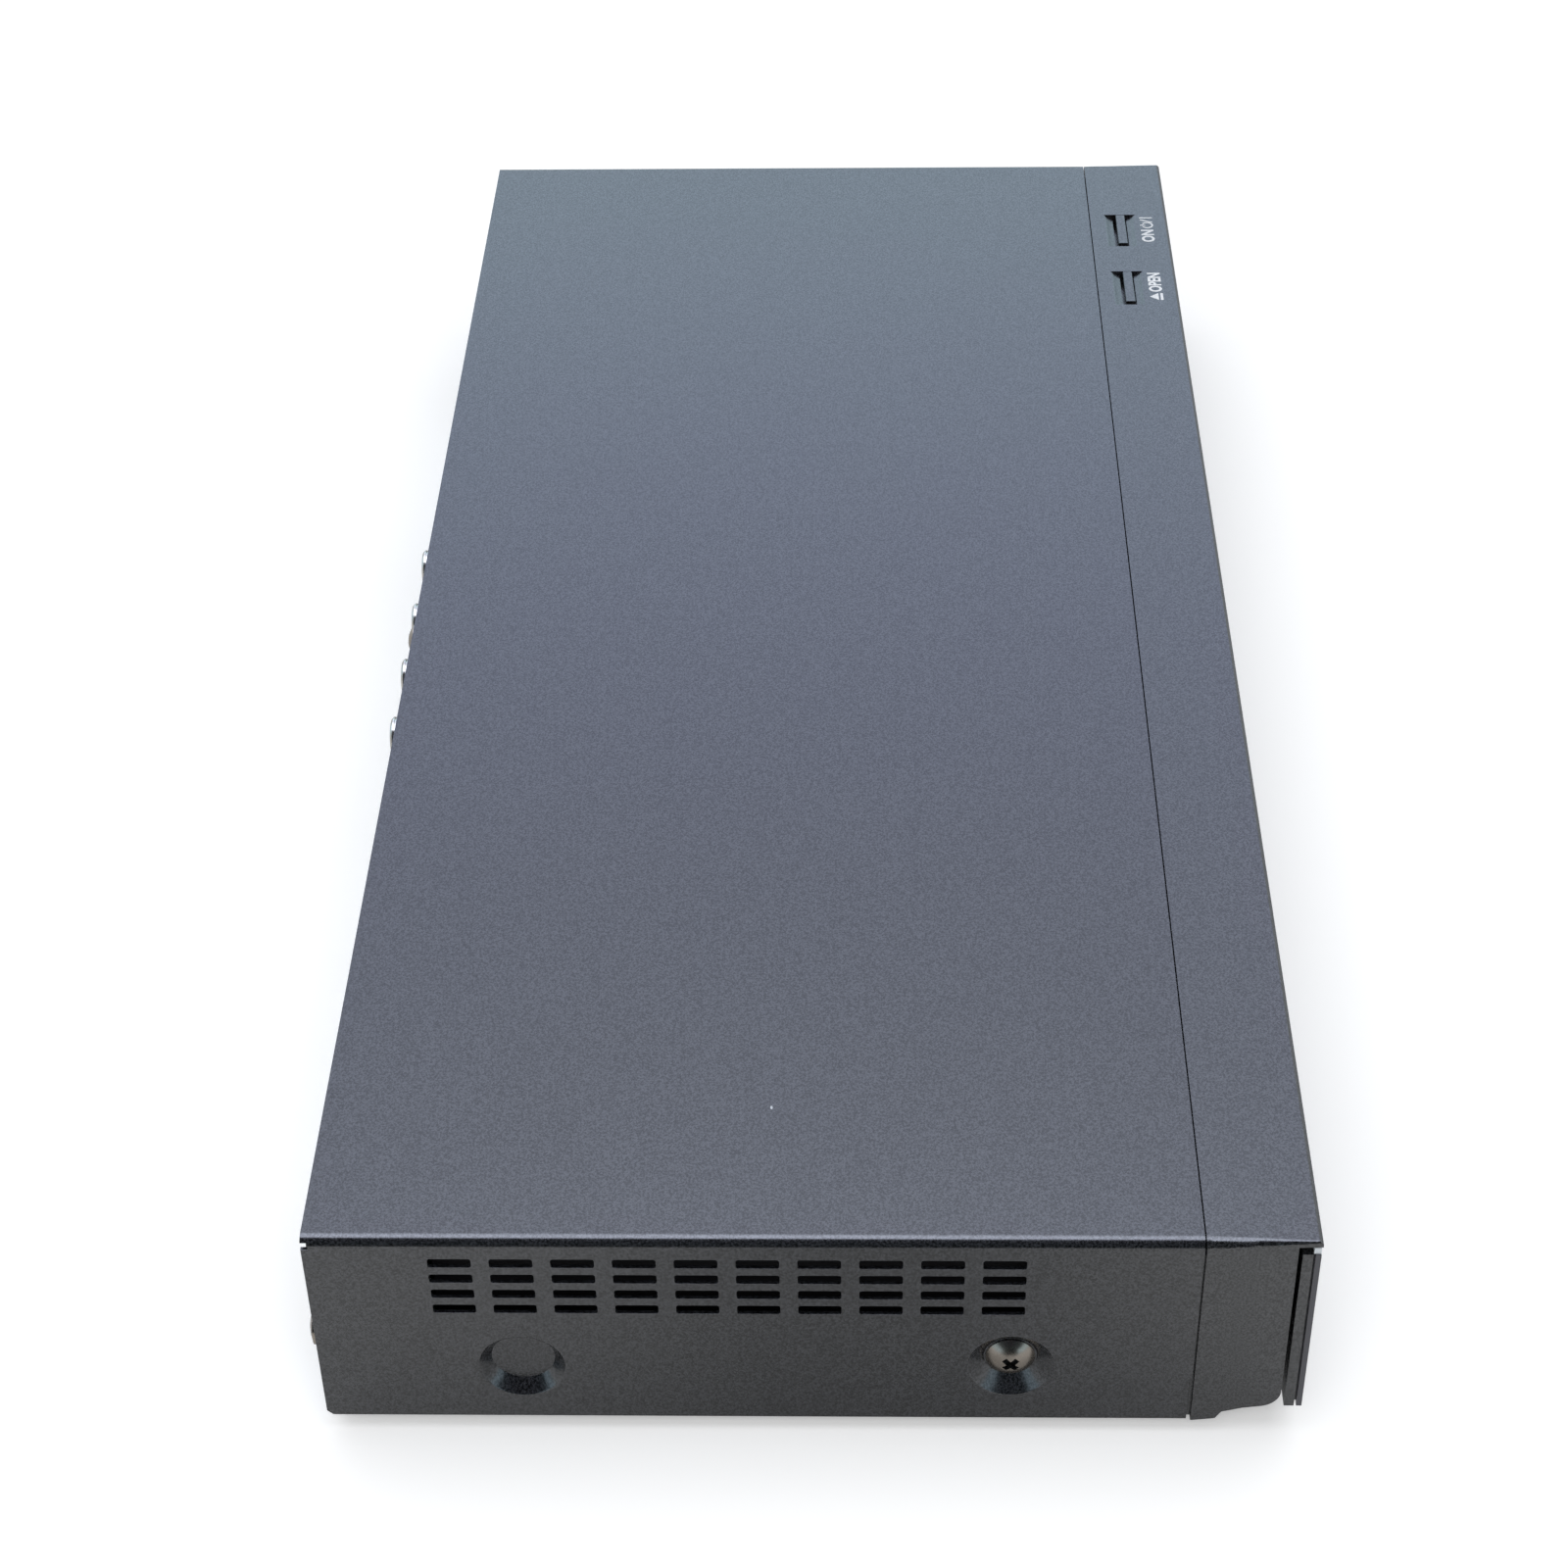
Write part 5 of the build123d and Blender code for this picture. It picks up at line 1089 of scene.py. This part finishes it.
@dataclass
class BoardParts:
    """The small parts soldered on the main board between the large ones."""

    board_top: float = 0.0116
    rows: tuple[tuple[float, float, int], ...] = ((-0.140, 0.052, 16), (-0.146, 0.060, 14),
                                                  (-0.134, 0.068, 12), (0.014, 0.050, 8),
                                                  (0.020, 0.068, 6))
    pitch: float = 0.0042
    part_size: Point = (0.002, 0.0013, 0.0007)
    part_lift: float = 0.00035
    end_size: Point = (0.0005, 0.0014, 0.0008)
    end_lift: float = 0.00036
    end_shift: float = 0.0009
    rounding: float = 0.0001

    def build(self) -> None:
        """Add rows of chip parts with soldered ends, every third one turned."""
        bodies, ends = [], []
        for number, (start, y, count) in enumerate(self.rows):
            for step in range(count):
                x = start + self.pitch * step
                turned = (step + number) % 3 == 0
                order = (1, 0, 2) if turned else (0, 1, 2)
                size, cap = ([box[axis] for axis in order] for box in (self.part_size, self.end_size))
                bodies.append(Bench.bar((x, y, self.board_top + self.part_lift), size, self.rounding))
                for shift in (-self.end_shift, self.end_shift):
                    place = (x, y + shift) if turned else (x + shift, y)
                    ends.append(Bench.bar((*place, self.board_top + self.end_lift), cap, self.rounding))
        Bench.hand_over(Bench.join(bodies, "chip_parts"), Finishes.epoxy, "casing", "chip_epoxy")
        Bench.hand_over(Bench.join(ends, "chip_part_ends"), Finishes.tin, "casing", "tin_plate")


@dataclass
class Electronics(Assembly):
    """The hard disk, the boards, the supply, the fan and the sockets."""

    sockets: RearSockets = field(default_factory=RearSockets)
    parts: BoardParts = field(default_factory=BoardParts)
    looks = (
        (Finishes.aluminium, ("hard_disk",)),
        (Finishes.anodised, ("heat_sink",)),
        (Finishes.board, ("main_board", "power_board")),
        (Finishes.epoxy, ("chips",)),
        (Finishes.supply, ("power_parts",)),
        (Finishes.tin, ("tuner_cans", "rear_sockets")),
        (Finishes.nickel, ("aerial_connectors",)),
        (Finishes.black, ("fan_frame", "fan_rotor", "audio_jacks", "mains_inlet")),
        (Finishes.cable, ("flat_cables",)),
    )
    shells = (
        ("aerial_connectors", "casing", "nickel", 0.0),
        ("audio_jacks", "casing", "jack_plastic", 0.0),
    )

    def build(self, frame: dict) -> None:
        """Give the round sockets even shading and add the small parts.
        """
        super().build(frame)
        self.sockets.build()
        self.parts.build()


@dataclass(frozen=True)
class Softbox:
    """One large soft lamp."""

    name: str
    place: Point
    aim: Point
    size: Span
    radiance: float
    colour: Colour

    def add(self) -> None:
        """Add the lamp."""
        data = bpy.data.lights.new(self.name, "AREA")
        data.shape = "RECTANGLE"
        data.size, data.size_y = self.size
        data.color = self.colour
        data.energy = self.radiance * math.pi * self.size[0] * self.size[1]
        lamp = bpy.data.objects.new(self.name, data)
        lamp.location = self.place
        way = Vector(self.aim) - Vector(self.place)
        lamp.rotation_euler = way.to_track_quat("-Z", "Y").to_euler()
        lamp.visible_camera = False
        lamp.visible_glossy = False
        bpy.context.collection.objects.link(lamp)


@dataclass
class Studio:
    """The pale floor, the soft light and the camera."""

    camera_place: Point = (-0.621118, -0.013464, 0.499779)
    camera_right: Point = (0.019565, -0.999672, -0.016397)
    camera_up: Point = (0.632073, -0.000340, 0.774908)
    camera_forward: Point = (0.774661, 0.025526, -0.631861)
    lens: float = 71.62
    floor_half: float = 3.0
    paper_edge: float = -0.6
    paper_glow: float = 0.24
    paper_white: float = 0.9
    paper_in_gloss: float = 0.62
    room_soft: Colour = (0.32, 0.325, 0.335)
    wall_light: Ease = (0.2, 0.46, 0.85, 1.7)
    cornice_dip: Ease = (0.435, 0.62, 0.0, 0.67)
    ceiling_light: Ease = (0.67, 1.0, 0.0, 1.75)
    crown_light: Ease = (0.85, 0.98, 0.0, 0.5)
    wall_tint: Colour = (0.77, 1.0, 1.15)
    cornice_tint: Colour = (0.92, 1.0, 1.42)
    ceiling_tint: Colour = (0.93, 1.0, 1.2)
    cornice_span: Span = (0.46, 0.56)
    ceiling_span: Span = (0.59, 0.69)
    shade_start: Span = (0.16, 0.3)
    shade_low: Span = (0.22, 0.3)
    shade_edge: float = 0.35
    shade_end: float = 0.5
    shade_depth: float = 0.97
    shadow_side: float = 0.015
    shadow_span: Span = (0.01, 0.085)
    shadow_level: float = 0.72
    fade_start: float = 0.5
    fade_end: float = 1.0
    softboxes: tuple[Softbox, ...] = (
        Softbox("far_softbox", (1.45, 0.0, 1.02), (0.1, 0.0, 0.05), (2.6, 1.15), 0.7, (0.95, 1.0, 1.06)),
        Softbox("top_softbox", (-0.05, 0.0, 1.5), (-0.05, 0.0, 0.0), (1.5, 2.2), 1.3, (0.98, 1.0, 1.03)),
        Softbox("near_fill", (-1.3, 0.0, 0.9), (-0.2, 0.0, 0.0), (1.6, 1.2), 1.9, (1.0, 1.0, 0.99)),
    )

    def add_camera(self) -> None:
        """Add the camera at the photograph's place, turned as it is there."""
        data = bpy.data.cameras.new("photo_camera")
        data.sensor_width = 36.0
        data.lens = self.lens
        data.clip_start = 0.01
        camera = bpy.data.objects.new("photo_camera", data)
        axes = (Vector(self.camera_right), Vector(self.camera_up), -Vector(self.camera_forward))
        turn = Matrix(axes).transposed().to_4x4()
        camera.matrix_world = Matrix.Translation(self.camera_place) @ turn
        bpy.context.collection.objects.link(camera)
        bpy.context.scene.camera = camera

    def add_world(self) -> None:
        """Add the room: white to the camera, coloured in gloss, with a dark side behind the camera."""
        world = bpy.data.worlds.new("studio_room")
        bpy.context.scene.world = world
        world.use_nodes = True
        graph = Graph(world.node_tree)
        x, y, z = graph.axes(graph.node("ShaderNodeTexCoord", output="Generated"))
        low = 1.0 - z.smooth(*self.shade_low)
        sideways = y.absolute().smooth(self.shade_edge, self.shade_end)
        behind = (0.0 - x).smooth(*self.shade_start) * (1.0 - low * sideways)
        level = z.smooth(*self.wall_light) - z.smooth(*self.cornice_dip)
        level = level + z.smooth(*self.ceiling_light) + z.smooth(*self.crown_light)
        low_tint = graph.blend(z.smooth(*self.cornice_span), self.wall_tint, self.cornice_tint)
        tint = graph.blend(z.smooth(*self.ceiling_span), low_tint, self.ceiling_tint)
        room = graph.scaled(tint, level * (1.0 - behind * self.shade_depth))
        seen = graph.blend(graph.ray(Ray.GLOSS), self.room_soft, room)
        shown = graph.blend(graph.ray(Ray.CAMERA) + graph.ray(Ray.CLEAR), seen, (1.0, 1.0, 1.0))
        back = graph.node("ShaderNodeBackground", {}, {"Color": shown, "Strength": 1.0})
        graph.finish(back, "ShaderNodeOutputWorld")

    def add_floor(self) -> None:
        """Add the white paper floor, which ends in the room's dark side as gloss sees it."""
        Bench.clear()
        bpy.ops.mesh.primitive_grid_add(x_subdivisions=2, y_subdivisions=2, size=2 * self.floor_half,
                                        location=(0, 0, 0))
        floor = bpy.context.object
        floor.name = "paper_floor"
        made = bpy.data.materials.new("white_paper")
        made.use_nodes = True
        graph = Graph(made.node_tree)
        place = graph.place()
        x, y, _ = graph.axes(place)
        away = graph.node("ShaderNodeVectorMath", {"operation": "LENGTH"}, {0: place}, "Value")
        fade = away.smooth(self.fade_start, self.fade_end)
        shaded = (x < self.paper_edge) * (y.absolute() < self.shade_end)
        # Painted shadow: gloss sees the paper dimmed by paper_in_gloss and darker still in a band near
        # the middle, where the case shades the floor.
        middle = (y + self.shadow_side).absolute().smooth(*self.shadow_span, self.shadow_level, 1.0)
        gloss = graph.ray(Ray.GLOSS)
        camera = graph.ray(Ray.CAMERA) + graph.ray(Ray.CLEAR)
        in_gloss = graph.scaled((self.paper_in_gloss,) * 3, middle)
        shade = graph.blend(gloss, (self.paper_white,) * 3, in_gloss)
        paper = graph.node("ShaderNodeBsdfDiffuse", {}, {"Color": shade})
        white, black = (1.0, 1.0, 1.0, 1.0), (0.0, 0.0, 0.0, 1.0)
        glow = graph.node("ShaderNodeEmission", {}, {"Color": white, "Strength": self.paper_glow})
        dark = graph.node("ShaderNodeEmission", {}, {"Color": black})
        plain = graph.node("ShaderNodeEmission", {}, {"Color": white})
        lit = graph.node("ShaderNodeMixShader", {}, {0: camera, 1: dark, 2: glow})
        both = graph.node("ShaderNodeAddShader", {}, {0: paper, 1: lit})
        faded = graph.node("ShaderNodeMixShader", {}, {0: fade * camera, 1: both, 2: plain})
        graph.finish(graph.node("ShaderNodeMixShader", {}, {0: gloss * shaded, 1: faded, 2: dark}))
        floor.data.materials.append(made)

    def build(self) -> None:
        """Set up the whole studio."""
        self.add_world()
        self.add_floor()
        for softbox in self.softboxes:
            softbox.add()
        bpy.context.scene.view_settings.view_transform = "Standard"
        log.info("studio ready")


def main() -> None:
    """Load the frame, dress it and set it in the studio."""
    logging.basicConfig(level=logging.INFO, format="%(name)s: %(message)s")
    studio = Studio()
    studio.add_camera()
    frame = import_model()
    for assembly in (Casing(), Front(), DiscDrive(), Electronics()):
        assembly.dress(frame)
        assembly.build(frame)
    studio.build()


if __name__ == "__main__":
    main()
